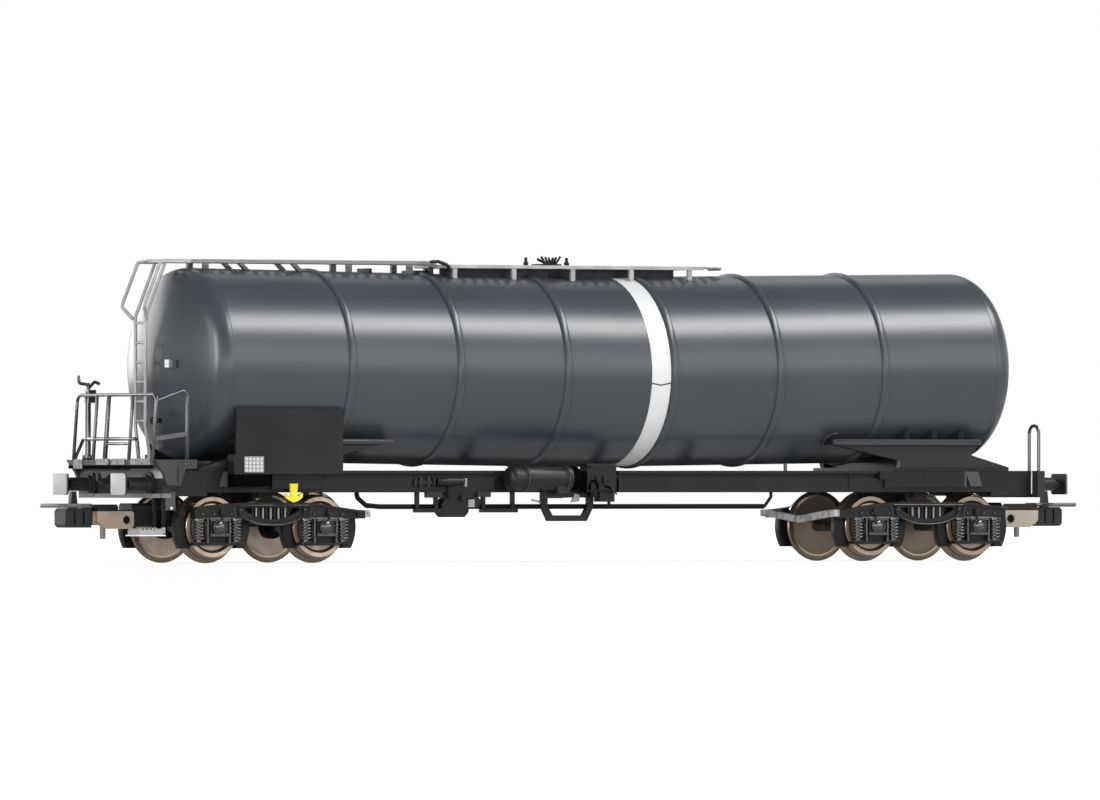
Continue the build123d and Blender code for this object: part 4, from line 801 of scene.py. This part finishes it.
def tank_ring(way, along, radius):
    """One ring of tank points; at the middle it lies on the plane where the halves meet."""
    ring = []
    for step in range(TANK_STEPS):
        angle = 2 * pi * step / TANK_STEPS
        place = along
        if along == 0:
            place = radius * sin(angle) * TANK_DROP / TANK_HALF
        ring.append(tank_point(way, place, radius, angle))
    return ring


def hoop_profile(offset):
    """Across one hoop: foot, rounded shoulder, flat, shoulder and foot."""
    half = RING_W / 2
    foot = TANK_R + RING_FOOT / 2
    rows = [(offset - half - RING_FOOT, TANK_R), (offset - half, foot)]
    for turn in range(10):
        angle = pi * turn / 9
        height = RING_FOOT + RING_PROUD * 0.85 * sin(angle)**0.6
        rows.append((offset - cos(angle) * half, TANK_R + height))
    return rows + [(offset + half, foot), (offset + half + RING_FOOT, TANK_R)]


def barrel_rows():
    """Distance along the half axis and radius, from the middle to the head."""
    rows = [(0.0, TANK_R), (0.4, TANK_R), (BAND[0], TANK_R), (BAND[1], TANK_R)]
    last = BAND[1]
    for offset in RING_OFFSETS:
        start = offset - RING_W / 2 - RING_FOOT
        if start - last > 4:
            rows += [(last + (start - last) * part / 6, TANK_R) for part in range(1, 6)]
        rows += hoop_profile(offset)
        last = offset + RING_W / 2 + RING_FOOT
    end = TANK_SLANT - SEAM_W
    rows += [(last + (end - last) * part / 6, TANK_R) for part in range(1, 7)]
    rows.append((TANK_SLANT - SEAM_W / 2, TANK_R - SEAM_DEPTH))
    rows.append((TANK_SLANT, TANK_R))
    return rows


def make_barrel(materials):
    rows = barrel_rows()
    rings = [tank_ring(-1, *row) for row in reversed(rows[1:])] + [tank_ring(1, *row) for row in rows]
    shape = lathe(rings)
    band_row = len(rows) - 1 + rows.index((BAND[0], TANK_R))
    picks = [1 if face // TANK_STEPS == band_row else 0 for face in range(len(shape[1]))]
    barrel = mesh_piece("tank_shell", shape, "wagon",
                        [materials["tank"], materials["white"]], picks, smooth=TANK_SMOOTH)
    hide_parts("tank_barrel")


def head_rows():
    """Height over the barrel's end and radius, round the knuckle and over the crown."""
    knuckle_y = TANK_R - HEAD_KNUCKLE_R
    reach = HEAD_CROWN_R - HEAD_KNUCKLE_R
    depth = HEAD_CROWN_R - sqrt(reach**2 - knuckle_y**2)
    turn = asin(knuckle_y / reach)
    rows = []
    for step in range(17):
        angle = pi / 2 + (turn - pi / 2) * step / 16
        rows.append((HEAD_KNUCKLE_R * cos(angle), knuckle_y + HEAD_KNUCKLE_R * sin(angle)))
    for step in range(1, 20):
        angle = turn * (1 - step / 20)
        rows.append((depth - HEAD_CROWN_R + HEAD_CROWN_R * cos(angle), HEAD_CROWN_R * sin(angle)))
    return rows, depth


def make_heads(materials):
    rows, depth = head_rows()
    for end, way in ENDS:
        rings = [tank_ring(way, TANK_SLANT + height, radius) for height, radius in rows]
        points, faces = lathe(rings)
        tip = len(points)
        points.append(tank_point(way, TANK_SLANT + depth, 0, 0))
        last = (len(rings) - 1) * TANK_STEPS
        faces += [(last + step, last + (step + 1) % TANK_STEPS, tip) for step in range(TANK_STEPS)]
        head = mesh_piece(f"tank_dish_{end}", (points, faces), "wagon",
                          [materials["tank"]], smooth=TANK_SMOOTH)
        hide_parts(f"tank_head_{end}")


CHEVRON_Z = 30.4
CHEVRON_DROP = 0.35
CHEVRON_DIP = 0.48
CHEVRON_W = 0.25
CHEVRON_PROUD = 0.012


def make_band_line(materials):
    """A thin dark line with a shallow dip, across the white band on both sides."""
    for side, way in (("near", -1), ("far", 1)):
        points = []
        for share, drop in ((0, 0), (CHEVRON_DIP, CHEVRON_DROP), (1, 0)):
            along = BAND[0] + (BAND[1] - BAND[0]) * share
            for height in (CHEVRON_W / 2, -CHEVRON_W / 2):
                level = CHEVRON_Z - TANK_MID_Z - drop + height
                angle = asin(level / TANK_R)
                angle = angle if way > 0 else pi - angle
                points.append(tank_point(1, along, TANK_R + CHEVRON_PROUD, angle))
        faces = [(row, row + 1, row + 3, row + 2) for row in (0, 2)]
        mesh_piece(f"band_line_{side}", (points, faces), "wagon", [materials["tank"]])


# Running gear: coil springs, turned wheels

SPRING_R = 1.05
SPRING_SPREAD = 3.6
SPRING_TURNS = 6.5
SPRING_WIRE = 0.17
TURN_STEPS = 20


def coil(x, y, low, high):
    """One coil spring as a wire that climbs round its axis, with a core behind it."""
    reach = SPRING_R - SPRING_WIRE
    steps = SPRING_TURNS * TURN_STEPS
    path = []
    for step in range(int(steps) + 1):
        angle = 2 * pi * step / TURN_STEPS
        height = low + SPRING_WIRE + (high - low - 2 * SPRING_WIRE) * step / steps
        path.append((x + reach * cos(angle), y + reach * sin(angle), height))
    core = wire([(x, y, low), (x, y, high)], reach * 0.62, 14)
    return merged([wire(path, SPRING_WIRE, 8), core])


def make_springs(materials):
    for end, _ in ENDS:
        centre, half = middle(f"springs_{end}")
        low, high = centre.z - half.z, centre.z + half.z
        parts = []
        for wheelset in (1, 2):
            axle_x = middle(f"axle_{end}{wheelset}")[0].x
            for side in SIDES:
                for way in (-1, 1):
                    x = axle_x + way * SPRING_SPREAD
                    parts.append(coil(x, side * (half.y - SPRING_R), low, high))
        coils = mesh_piece(f"coils_{end}", merged(parts), f"bogie_{end}",
                           [materials["coil"]], smooth=60)
        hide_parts(f"springs_{end}")


WHEEL_STEPS = 128
WHEEL_W = 2.8
WHEEL_PROFILE = (
    # radius, distance from the back face, material
    (1.0, 0.2, 3), (1.9, 0.2, 3), (2.0, 0.26, 3), (2.2, 0.3, 3), (4.2, 0.3, 3), (4.9, 0.12, 3),
    (5.0, 0.03, 1), (5.75, 0.0, 1), (5.95, 0.06, 1), (6.07, 0.18, 1), (6.1, 0.32, 1), (6.06, 0.46, 1),
    (5.9, 0.6, 1), (5.6, 0.72, 1), (5.35, 0.88, 1), (5.3, 1.05, 1), (5.22, 2.55, 1), (5.17, 2.7, 1),
    (5.05, 2.8, 0), (4.4, 2.8, 0), (4.32, 2.74, 2), (4.28, 2.3, 2), (4.1, 2.2, 2), (3.98, 2.3, 2),
    (3.92, 2.42, 0), (3.2, 2.5, 0), (2.2, 2.42, 0), (1.95, 2.45, 0), (1.85, 2.7, 0), (1.75, 2.76, 0),
    (1.0, 2.76, 0))


def turned_wheel(centre, back, side):
    """One wheel about its axle; back is the distance of its back face from the car's middle."""
    rings = []
    for radius, depth, _ in WHEEL_PROFILE:
        y = side * (back + depth)
        ring = [(centre.x + radius * run, y, centre.z + radius * rise) for run, rise in circle(WHEEL_STEPS)]
        rings.append(ring if side > 0 else list(reversed(ring)))
    return lathe(rings)


def make_wheels(materials):
    """Both wheels of each axle, turned about it from one profile."""
    looks = [materials[name] for name in ("wheel", "tread", "groove", "wheel_back_painted_light_and_shade")]
    picks = [row[2] for row in WHEEL_PROFILE[:-1] for step in range(WHEEL_STEPS)]
    for name in ("a1", "a2", "b1", "b2"):
        centre, half = middle(f"wheels_{name}")
        shape = merged([turned_wheel(centre, half.y - WHEEL_W, side) for side in SIDES])
        wheels = mesh_piece(f"turned_wheels_{name}", shape, f"wheelset_{name}",
                            looks, picks + picks, smooth=35)
        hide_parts(f"wheels_{name}")


# Bogie trim

PIVOT_X = 65.25
AXLE_OUT = 10.35
AXLE_Z = 6.1
FRAME_FACE_Y = 12.2
COVER_FACE_Y = 12.5
COVER_R = 1.0
COVER_RISE = 0.42
RIM_R = 1.18
RIM_W = 0.12
GUIDE_Y = (11.3, 12.1)
GUIDE_X = (1.95, 2.3)
GUIDE_BOLT_X = 2.12
GUIDE_BOLTS_Z = (4.4, 6.9)
TIE_Y = (11.9, 12.32)
TIE_HALF = 1.75
TIES_Z = ((4.55, 5.0), (7.1, 7.45))
BOX_BOLT_X = 1.35
BOX_BOLTS_Z = (4.85, 7.2)
SEAT_R = 1.15
SEAT_T = 0.3
SPRING_Y = 11.5
SPRING_Z = (3.6, 7.5)


def on_side(side, values):
    """Two distances from the car's middle, taken to one of its sides."""
    return (side * values[0], side * values[1])


def axle_box_trim(x, side):
    """Domed cover in its rim, ties and bolts, and the guides between the axle box and its springs."""
    cover_y = side * COVER_FACE_Y
    parts = [ring_y(x, cover_y, AXLE_Z, RIM_R, RIM_W, side),
             dome_y(x, cover_y, AXLE_Z, COVER_R, COVER_RISE, side)]
    for height in TIES_Z:
        parts.append(box((x - TIE_HALF, x + TIE_HALF), on_side(side, TIE_Y), height))
    for way in (-1, 1):
        for z in BOX_BOLTS_Z:
            parts.append(stud(x + way * BOX_BOLT_X, side * FRAME_FACE_Y, z, 0.17, 0.22, side))
        guide = (x + way * GUIDE_X[0], x + way * GUIDE_X[1])
        parts.append(box(guide, on_side(side, GUIDE_Y), (SPRING_Z[0] - 0.3, SPRING_Z[1])))
        for z in GUIDE_BOLTS_Z:
            parts.append(stud(x + way * GUIDE_BOLT_X, side * GUIDE_Y[1], z, 0.14, 0.14, side))
        seat_x, seat_y = x + way * SPRING_SPREAD, side * SPRING_Y
        seat = [(seat_x, seat_y, SPRING_Z[1] - SEAT_T), (seat_x, seat_y, SPRING_Z[1])]
        parts.append(wire(seat, SEAT_R, 16))
        parts.append(stud(x + way * 4.3, side * FRAME_FACE_Y, 3.25, 0.2, 0.2, side))
    parts.append(box((x - 1.9, x + 1.9), (side * 11.9, side * 12.3), (7.45, 7.7)))
    return parts


CHORD_RIVETS = (-13.6, -11.4, -8.0, 8.0, 11.4, 13.6)
WINDOW_RIVETS = (-6.2, 6.2)
WINDOW_BARS = (-2.8, -1.5, 0.0, 1.5, 2.8)


def side_frame_trim(x, side):
    """Rivets along the top of a side frame."""
    y = side * FRAME_FACE_Y
    parts = [stud(x + place, y, 8.3, 0.16, 0.12, side, 8) for place in CHORD_RIVETS]
    return parts + [stud(x + place, y, 9.0, 0.18, 0.2, side, 8) for place in WINDOW_RIVETS]


def window_bars(x, side):
    """Upright bars in a side frame's window, pale grey as painted highlights on the bolster's springs."""
    y = side * SPRING_Y
    return [wire([(x + place, y, 6.9), (x + place, y, 9.4)], 0.17, 10) for place in WINDOW_BARS]


EDGE_FACE_Y = 12.28
BELLY_HALF = 6.6
BELLY_Z = 9.15
BELLY_DROP = 2.75


def frame_edge_highlights(x, side):
    """Fine raised edges, pale to paint their highlights: under the window, along the top chord and under the
    upper part of the frame.
    """
    y = side * EDGE_FACE_Y
    belly = [(x + BELLY_HALF * cos(pi * step / 14), y, BELLY_Z - BELLY_DROP * sin(pi * step / 14))
             for step in range(15)]
    # Pale wires that paint highlights on the edges.
    lines = [wire(belly, 0.07, 6), wire([(x - 7.0, y, 9.75), (x + 7.0, y, 9.75)], 0.07, 6)]
    for way in (-1, 1):
        inner = x + way * 7.2
        lines.append(wire([(inner, y, 7.55), (x + way * 13.6, y, 7.55)], 0.06, 6))
        lines.append(wire([(inner, y, 7.6), (x + way * 7.6, y, 9.6)], 0.06, 6))
    return lines


def make_bogie_trim(materials):
    for end, way in ENDS:
        x = way * PIVOT_X
        parts, edges, bars = [], [], []
        for side in SIDES:
            for axle in (-AXLE_OUT, AXLE_OUT):
                parts += axle_box_trim(x + axle, side)
            parts += side_frame_trim(x, side)
            edges += frame_edge_highlights(x, side)
            bars += window_bars(x, side)
        for name, shapes, look in (("bogie_trim", parts, "coil"), ("frame_edge_highlights", edges, "edge"),
                                   ("window_springs", bars, "bar")):
            mesh_piece(f"{name}_{end}", merged(shapes), f"bogie_{end}", [materials[look]])


HUB_R = 2.05
HUB_Y = (5.6, 7.25)


def make_hubs(materials):
    """Dark hubs on the backs of the wheels under the platform end, drawn wide and black as painted shade."""
    for name, x in (("a1", -PIVOT_X - AXLE_OUT), ("a2", -PIVOT_X + AXLE_OUT)):
        hubs = [wire([(x, side * y, AXLE_Z) for y in HUB_Y], HUB_R, 40) for side in SIDES]
        mesh_piece(f"hubs_{name}", merged(hubs), f"wheelset_{name}", [materials["hole"]])


# Small pieces of the platform

DECK_FACE_X = -89.7
TOE_PLATES = ((0.5, 4.9, 16.55, 17.6), (-5.0, -0.5, 16.55, 17.6), (-13.6, -6.8, 16.55, 17.6),
              (9.6, 12.6, 15.9, 17.5))
SIDE_PLATE_Y = -15.3
SIDE_PLATE_BOLTS = ((-88.2, 16.6), (-84.0, 16.6), (-85.0, 14.2), (-82.6, 16.6))
KNEE_RAIL_END = ((-88.99, 9.3, 20.9), (-87.25, 13.6, 21.0))
KNEE_RAIL_R = 0.3


def wagon_trim(name, shapes, material):
    """One piece on the car's body from several shapes of one material."""
    mesh_piece(name, merged(shapes), "wagon", [material])


def make_platform_trim(materials):
    """Toe plates, bolts, the knee rail's end, a sill bracket and the near step's lower edge, with pale bolt
    heads and a pale lower edge as painted highlights.
    """
    plates = [box((DECK_FACE_X - 0.12, DECK_FACE_X + 0.2), (low, high), (foot, top))
              for low, high, foot, top in TOE_PLATES]
    wagon_trim("toe_plates", plates, materials["toe"])
    bolts = [stud(x, SIDE_PLATE_Y, z, 0.16, 0.15, -1) for x, z in SIDE_PLATE_BOLTS]
    wagon_trim("side_plate_bolts", bolts, materials["rail_dark"])
    wagon_trim("knee_rail_end", [wire(KNEE_RAIL_END, KNEE_RAIL_R, 12)], materials["rail_dark"])
    bracket = box((-86.0, -84.3), (-12.6, -12.2), (8.9, 12.0))
    wagon_trim("sill_bracket", [bracket], materials["edge"])
    # Painted highlights: two pale bolt heads and a pale strip along the near step's lower edge.
    light = [stud(-86.9, -12.5, 12.7, 0.28, 0.35, -1, 10),
             stud(-85.2, -12.6, 9.3, 0.25, 0.3, -1, 10),
             box((-92.5, -87.2), (-14.5, -10.2), (4.62, 4.82))]
    wagon_trim("step_edge_highlights", light, materials["plate_light"])


# Small pieces of the sills and saddles

SILL_FACE_Y = -12.35
FLANGE_FACE_Y = -12.75
SILL_BOLTS = (-46.0, -32.0, 12.0, 30.0, 42.0)
FLANGE_BOLTS = (60.0, 64.0, 68.0, 72.0)


def make_sill_trim(materials):
    """A block, a rib and two rows of bolts on the near sill."""
    parts = [box((54.9, 57.1), (SILL_FACE_Y, -13.1), (14.1, 15.35)),
             box((48.9, 49.1), (SILL_FACE_Y, -12.52), (12.8, 15.0))]
    parts += [stud(x, SILL_FACE_Y, 13.2, 0.2, 0.12, -1, 8) for x in SILL_BOLTS]
    parts += [stud(x, FLANGE_FACE_Y, 15.1, 0.16, 0.12, -1, 8) for x in FLANGE_BOLTS]
    wagon_trim("sill_trim", parts, materials["frame"])


SADDLE_COVER = ((46.0, 20.08), (74.95, 20.08), (73.55, 18.3), (81.5, 16.12), (59.05, 16.12), (58.65, 17.4))
SADDLE_COVER_Y = (12.98, 12.42)
TIP_CENTRE = (45.9, 20.6)
TIP_X_R = 1.7
TIP_Z_R = 1.45
TIP_ROUND_Z = 31.9


def flange_tip():
    """The rim round the tip of the flange, which bends with the tank's side."""
    path = []
    for step in range(13):
        angle = pi * (0.42 + 0.95 * step / 12)
        z = TIP_CENTRE[1] + TIP_Z_R * sin(angle)
        y = -sqrt(TANK_R**2 - (TIP_ROUND_Z - z)**2) - 0.1
        path.append((TIP_CENTRE[0] + TIP_X_R * cos(angle), y, z))
    return wire(path, 0.11, 8)


def make_saddle_trim(materials):
    """Smooth cover plates over the saddles' webs, a rim round the flange's tip and paler edges, whose pale
    colour paints highlights.
    """
    mirrored = [(2 * TANK_MID_X - x, z) for x, z in SADDLE_COVER]
    covers = [slab(outline, on_side(side, SADDLE_COVER_Y)) for side in SIDES
              for outline in (SADDLE_COVER, mirrored)]
    wagon_trim("saddle_covers", covers, materials["saddle"])
    # Painted highlights: a pale rim round the flange's tip and pale lines along its edges.
    edges = [flange_tip(),
             box((58.5, 58.85), (-13.1, -12.45), (16.1, 17.4)),
             box((36.0, 36.5), (-12.3, -11.9), (15.6, 16.75))]
    edges += [box((45.2, 74.8), (-14.08, -13.98), (z - 0.05, z + 0.05)) for z in (20.16, 20.94)]
    wagon_trim("saddle_edge_highlights", edges, materials["edge"])


# Small pieces of the brake gear and outlet

PIPE_Y = -11.2
PIPE_ROUTE = ((-48.4, 11.9), (-48.2, 11.0), (-46.6, 9.75), (-44.0, 9.5), (32.4, 9.5))
PIPE_R = 0.42
DRUM_Y = -14.05
DRUM_Z = 14.3
DRUM_BAND_R = 2.32
DRUM_BANDS = (-17.4, -9.4)
LOOP_LEGS = (86.1, 87.2)
CONTACT_STRIP = ((66.2, -8.3, 11.5), (67.4, -8.3, 11.1), (69.2, -8.3, 11.0))


def drum_band(x):
    """A strap round the front of the air reservoir."""
    path = []
    for step in range(21):
        angle = pi * (0.25 + 1.5 * step / 20)
        path.append((x, DRUM_Y + DRUM_BAND_R * cos(angle), DRUM_Z + DRUM_BAND_R * sin(angle)))
    return wire(path, 0.08, 8)


def make_rod_trim(materials):
    """The brake pipe, the reservoir's bands, the grab loop's lower legs and a contact strip."""
    pipe = wire([(x, PIPE_Y, z) for x, z in PIPE_ROUTE], PIPE_R, 12)
    wagon_trim("brake_pipe", [pipe], materials["hole"])
    wagon_trim("reservoir_bands", [drum_band(x) for x in DRUM_BANDS], materials["edge"])
    legs = [wire([(x, FLANGE_FACE_Y, 15.6), (x, FLANGE_FACE_Y, 11.6)], 0.13, 8) for x in LOOP_LEGS]
    strip = wire(CONTACT_STRIP, 0.2, 8)
    wagon_trim("bright_wires", legs + [strip], materials["bright_metal"])


GEAR_Y = -12.7
GEAR_BACK_Y = -12.0
VALVE_Z = 13.8
VALVE_R = 0.62
VALVE_PINS = ((-37.7, 13.0, 14.3), (-36.7, 12.8, 14.5), (-35.2, 12.9, 14.6), (-34.0, 13.0, 14.3))
BLOCK_FACE_Y = -13.3
BLOCK_BOLTS = (-12.3, -10.8, -9.4)
OUTLET_BOLTS = ((-4.3, 16.3), (0.7, 16.3), (-4.3, 12.4), (0.7, 14.3))


def valve_fittings():
    """A cylinder over the brake valve, a row of pins beside it and two blocks at the sill's foot."""
    parts = [wire([(-31.7, GEAR_Y, VALVE_Z), (-28.5, GEAR_Y, VALVE_Z)], VALVE_R, 16),
             dome_x(-31.7, GEAR_Y, VALVE_Z, VALVE_R, 0.4)]
    parts += [wire([(x, GEAR_Y, low), (x, GEAR_Y, high)], 0.27, 10) for x, low, high in VALVE_PINS]
    parts.append(box((-37.2, -34.4), (GEAR_Y, -12.2), (13.3, 13.9)))
    parts.append(box((-35.6, -32.6), (-12.9, GEAR_BACK_Y), (11.0, 12.0)))
    parts.append(box((-25.6, -23.0), (-12.9, GEAR_BACK_Y), (11.1, 12.0)))
    return parts


def outlet_fittings():
    """A block over the guard's corner with its bolts and plate; the outlet box's handles and bolts."""
    parts = [box((-12.7, -8.9), (BLOCK_FACE_Y, GEAR_BACK_Y), (10.9, 13.3))]
    parts += [stud(x, BLOCK_FACE_Y, 12.8, 0.2, 0.2, -1, 8) for x in BLOCK_BOLTS]
    parts.append(box((-12.0, -9.6), (-13.45, -13.2), (11.4, 12.3)))
    parts.append(arch(-3.5, -14.45, 12.4, 0.75, 1.5, 0.16))
    parts.append(wire([(-1.2, -14.3, 13.0), (0.2, -14.5, 12.4), (1.0, -14.4, 11.6)], 0.16, 8))
    return parts + [stud(x, -14.2, z, 0.18, 0.15, -1, 8) for x, z in OUTLET_BOLTS]


def make_gear_trim(materials):
    """Fittings between the brake valve, the air reservoir and the outlet box."""
    # The fittings near the outlet box share the reservoir's painted shade and turn black there.
    wagon_trim("gear_fittings", valve_fittings() + outlet_fittings(), materials["drum"])
    light = [box((-28.15, -27.75), (GEAR_Y - 0.3, -12.3), (12.9, 14.3)),
             wire([(-14.9, -12.7, 10.6), (-13.6, -12.8, 10.4), (-13.2, -12.8, 10.0)], 0.15, 8),
             slab([(-6.9, 10.2), (-5.3, 10.4), (-5.3, 11.5), (-6.2, 11.7)], (-12.6, -12.3)),
             box((-27.4, -26.2), (-12.9, -12.6), (9.4, 10.7))]
    wagon_trim("gear_bright", light, materials["bar"])


# Small pieces of the head and the roof

HEAD_FACE_X = -81.9
PLATE_Z = (32.9, 34.2)
KNOB_Y = -3.0
KNOB_Z = 24.0


def make_head_trim(materials):
    """A small folded plate and a knob on the platform end's dished head."""
    pale = box((HEAD_FACE_X - 0.5, HEAD_FACE_X + 0.6), (-6.9, -5.6), PLATE_Z)
    dark = box((HEAD_FACE_X - 0.3, HEAD_FACE_X + 0.6), (-7.7, -6.9), PLATE_Z)
    picks = [1] * len(pale[1]) + [0] * len(dark[1])
    mesh_piece("head_plate", merged([pale, dark]), "wagon",
               [materials["tank"], materials["plate_light"]], picks)
    knob = [wire([(-81.6, KNOB_Y, KNOB_Z), (-83.0, KNOB_Y, KNOB_Z)], 0.42, 14),
            wire([(-83.0, KNOB_Y, KNOB_Z), (-83.4, KNOB_Y, KNOB_Z)], 0.62, 14)]
    wagon_trim("head_knob", knob, materials["gear"])


LEVER = ((-30.6, -5.6, 51.0), (-29.2, -5.7, 51.1), (-27.6, -5.8, 50.6), (-27.0, -5.9, 50.0))
NUT_X = -3.2
NUT_Y = 0.4
NUT_Z = (50.9, 52.0)
NUT_ARMS = (-1.9, -1.1, -0.4, 0.4, 1.1, 1.9)


def make_roof_trim(materials):
    """The lever and blocks where the walkway meets the centre platform, its skirt and the wing nut's arms."""
    parts = [wire(LEVER, 0.3, 10),
             box((-27.0, 19.5), (-2.7, -2.4), (48.3, 50.3)),
             box((-40.6, -40.0), (-2.0, 2.0), (48.7, 49.9)),
             box((-31.6, -29.2), (-2.4, 2.4), (48.4, 49.6)),
             wire([(-29.0, -3.0, 48.3), (-29.0, -3.0, 50.2)], 0.45, 12)]
    for lean in NUT_ARMS:
        foot = (NUT_X + 0.5 * lean, NUT_Y, NUT_Z[0])
        tip = (NUT_X + lean, NUT_Y, NUT_Z[1] + 0.1 * abs(lean))
        parts.append(wire([foot, tip], 0.2, 8))
    wagon_trim("roof_lever", parts, materials["gear"])


# Card holders on the side boards, eyes of the couplers

HOLDER_X = (-72.6, -69.0)
HOLDER_Z = (15.35, 17.85)
HOLDER_FACE_Y = 15.5
GRID_R = 0.09
GRID_COLUMNS = 5
GRID_ROWS = 4


def holder_grid(y):
    """Upright and level wires, evenly spaced over the card."""
    (left, right), (low, high) = HOLDER_X, HOLDER_Z
    wires = []
    for step in range(GRID_COLUMNS + 1):
        x = left + (right - left) * step / GRID_COLUMNS
        wires.append(wire([(x, y, low), (x, y, high)], GRID_R, 6))
    for step in range(GRID_ROWS + 1):
        z = low + (high - low) * step / GRID_ROWS
        wires.append(wire([(left, y, z), (right, y, z)], GRID_R, 6))
    return wires


def make_holders(materials):
    """On each side board a blank pale card behind a wire grid."""
    for name, side in (("near", -1), ("far", 1)):
        card = box(HOLDER_X, (side * (HOLDER_FACE_Y - 0.05), side * (HOLDER_FACE_Y + 0.06)), HOLDER_Z)
        wagon_trim(f"holder_card_{name}", [card], materials["white"])
        grid = holder_grid(side * (HOLDER_FACE_Y + 0.08))
        wagon_trim(f"holder_grid_{name}", grid, materials["bar"])


EYE_X = 88.15
EYE_Y = -2.9
EYE_Z = 7.3
EYE_BEAD_R = 0.8
EYE_BORE_R = 0.68


def make_eye_trim(materials):
    """A dark bore and a bright bead at each hook plate's eye; the bore is a black plug of painted shade."""
    for end, way in ENDS:
        x = way * EYE_X
        bead = ring_y(x, EYE_Y, EYE_Z, EYE_BEAD_R, 0.08, -1)
        mesh_piece(f"eye_bead_{end}", bead, f"coupler_{end}", [materials["bar"]])
        # Painted shade: a black plug in the eye.
        plug = wire([(x, EYE_Y * 0.84, EYE_Z), (x, EYE_Y * 0.9, EYE_Z)], EYE_BORE_R, 20)
        mesh_piece(f"eye_bore_painted_shade_{end}", plug, f"coupler_{end}", [materials["hole"]])


make_camera()
make_world()
make_stage()
make_lamps()
materials = make_materials()
dress_frame(materials)
make_barrel(materials)
make_heads(materials)
make_band_line(materials)
make_springs(materials)
make_wheels(materials)
make_bogie_trim(materials)
make_hubs(materials)
make_platform_trim(materials)
make_sill_trim(materials)
make_saddle_trim(materials)
make_rod_trim(materials)
make_gear_trim(materials)
make_head_trim(materials)
make_roof_trim(materials)
make_holders(materials)
make_eye_trim(materials)

bpy.context.scene.view_settings.view_transform = "Standard"
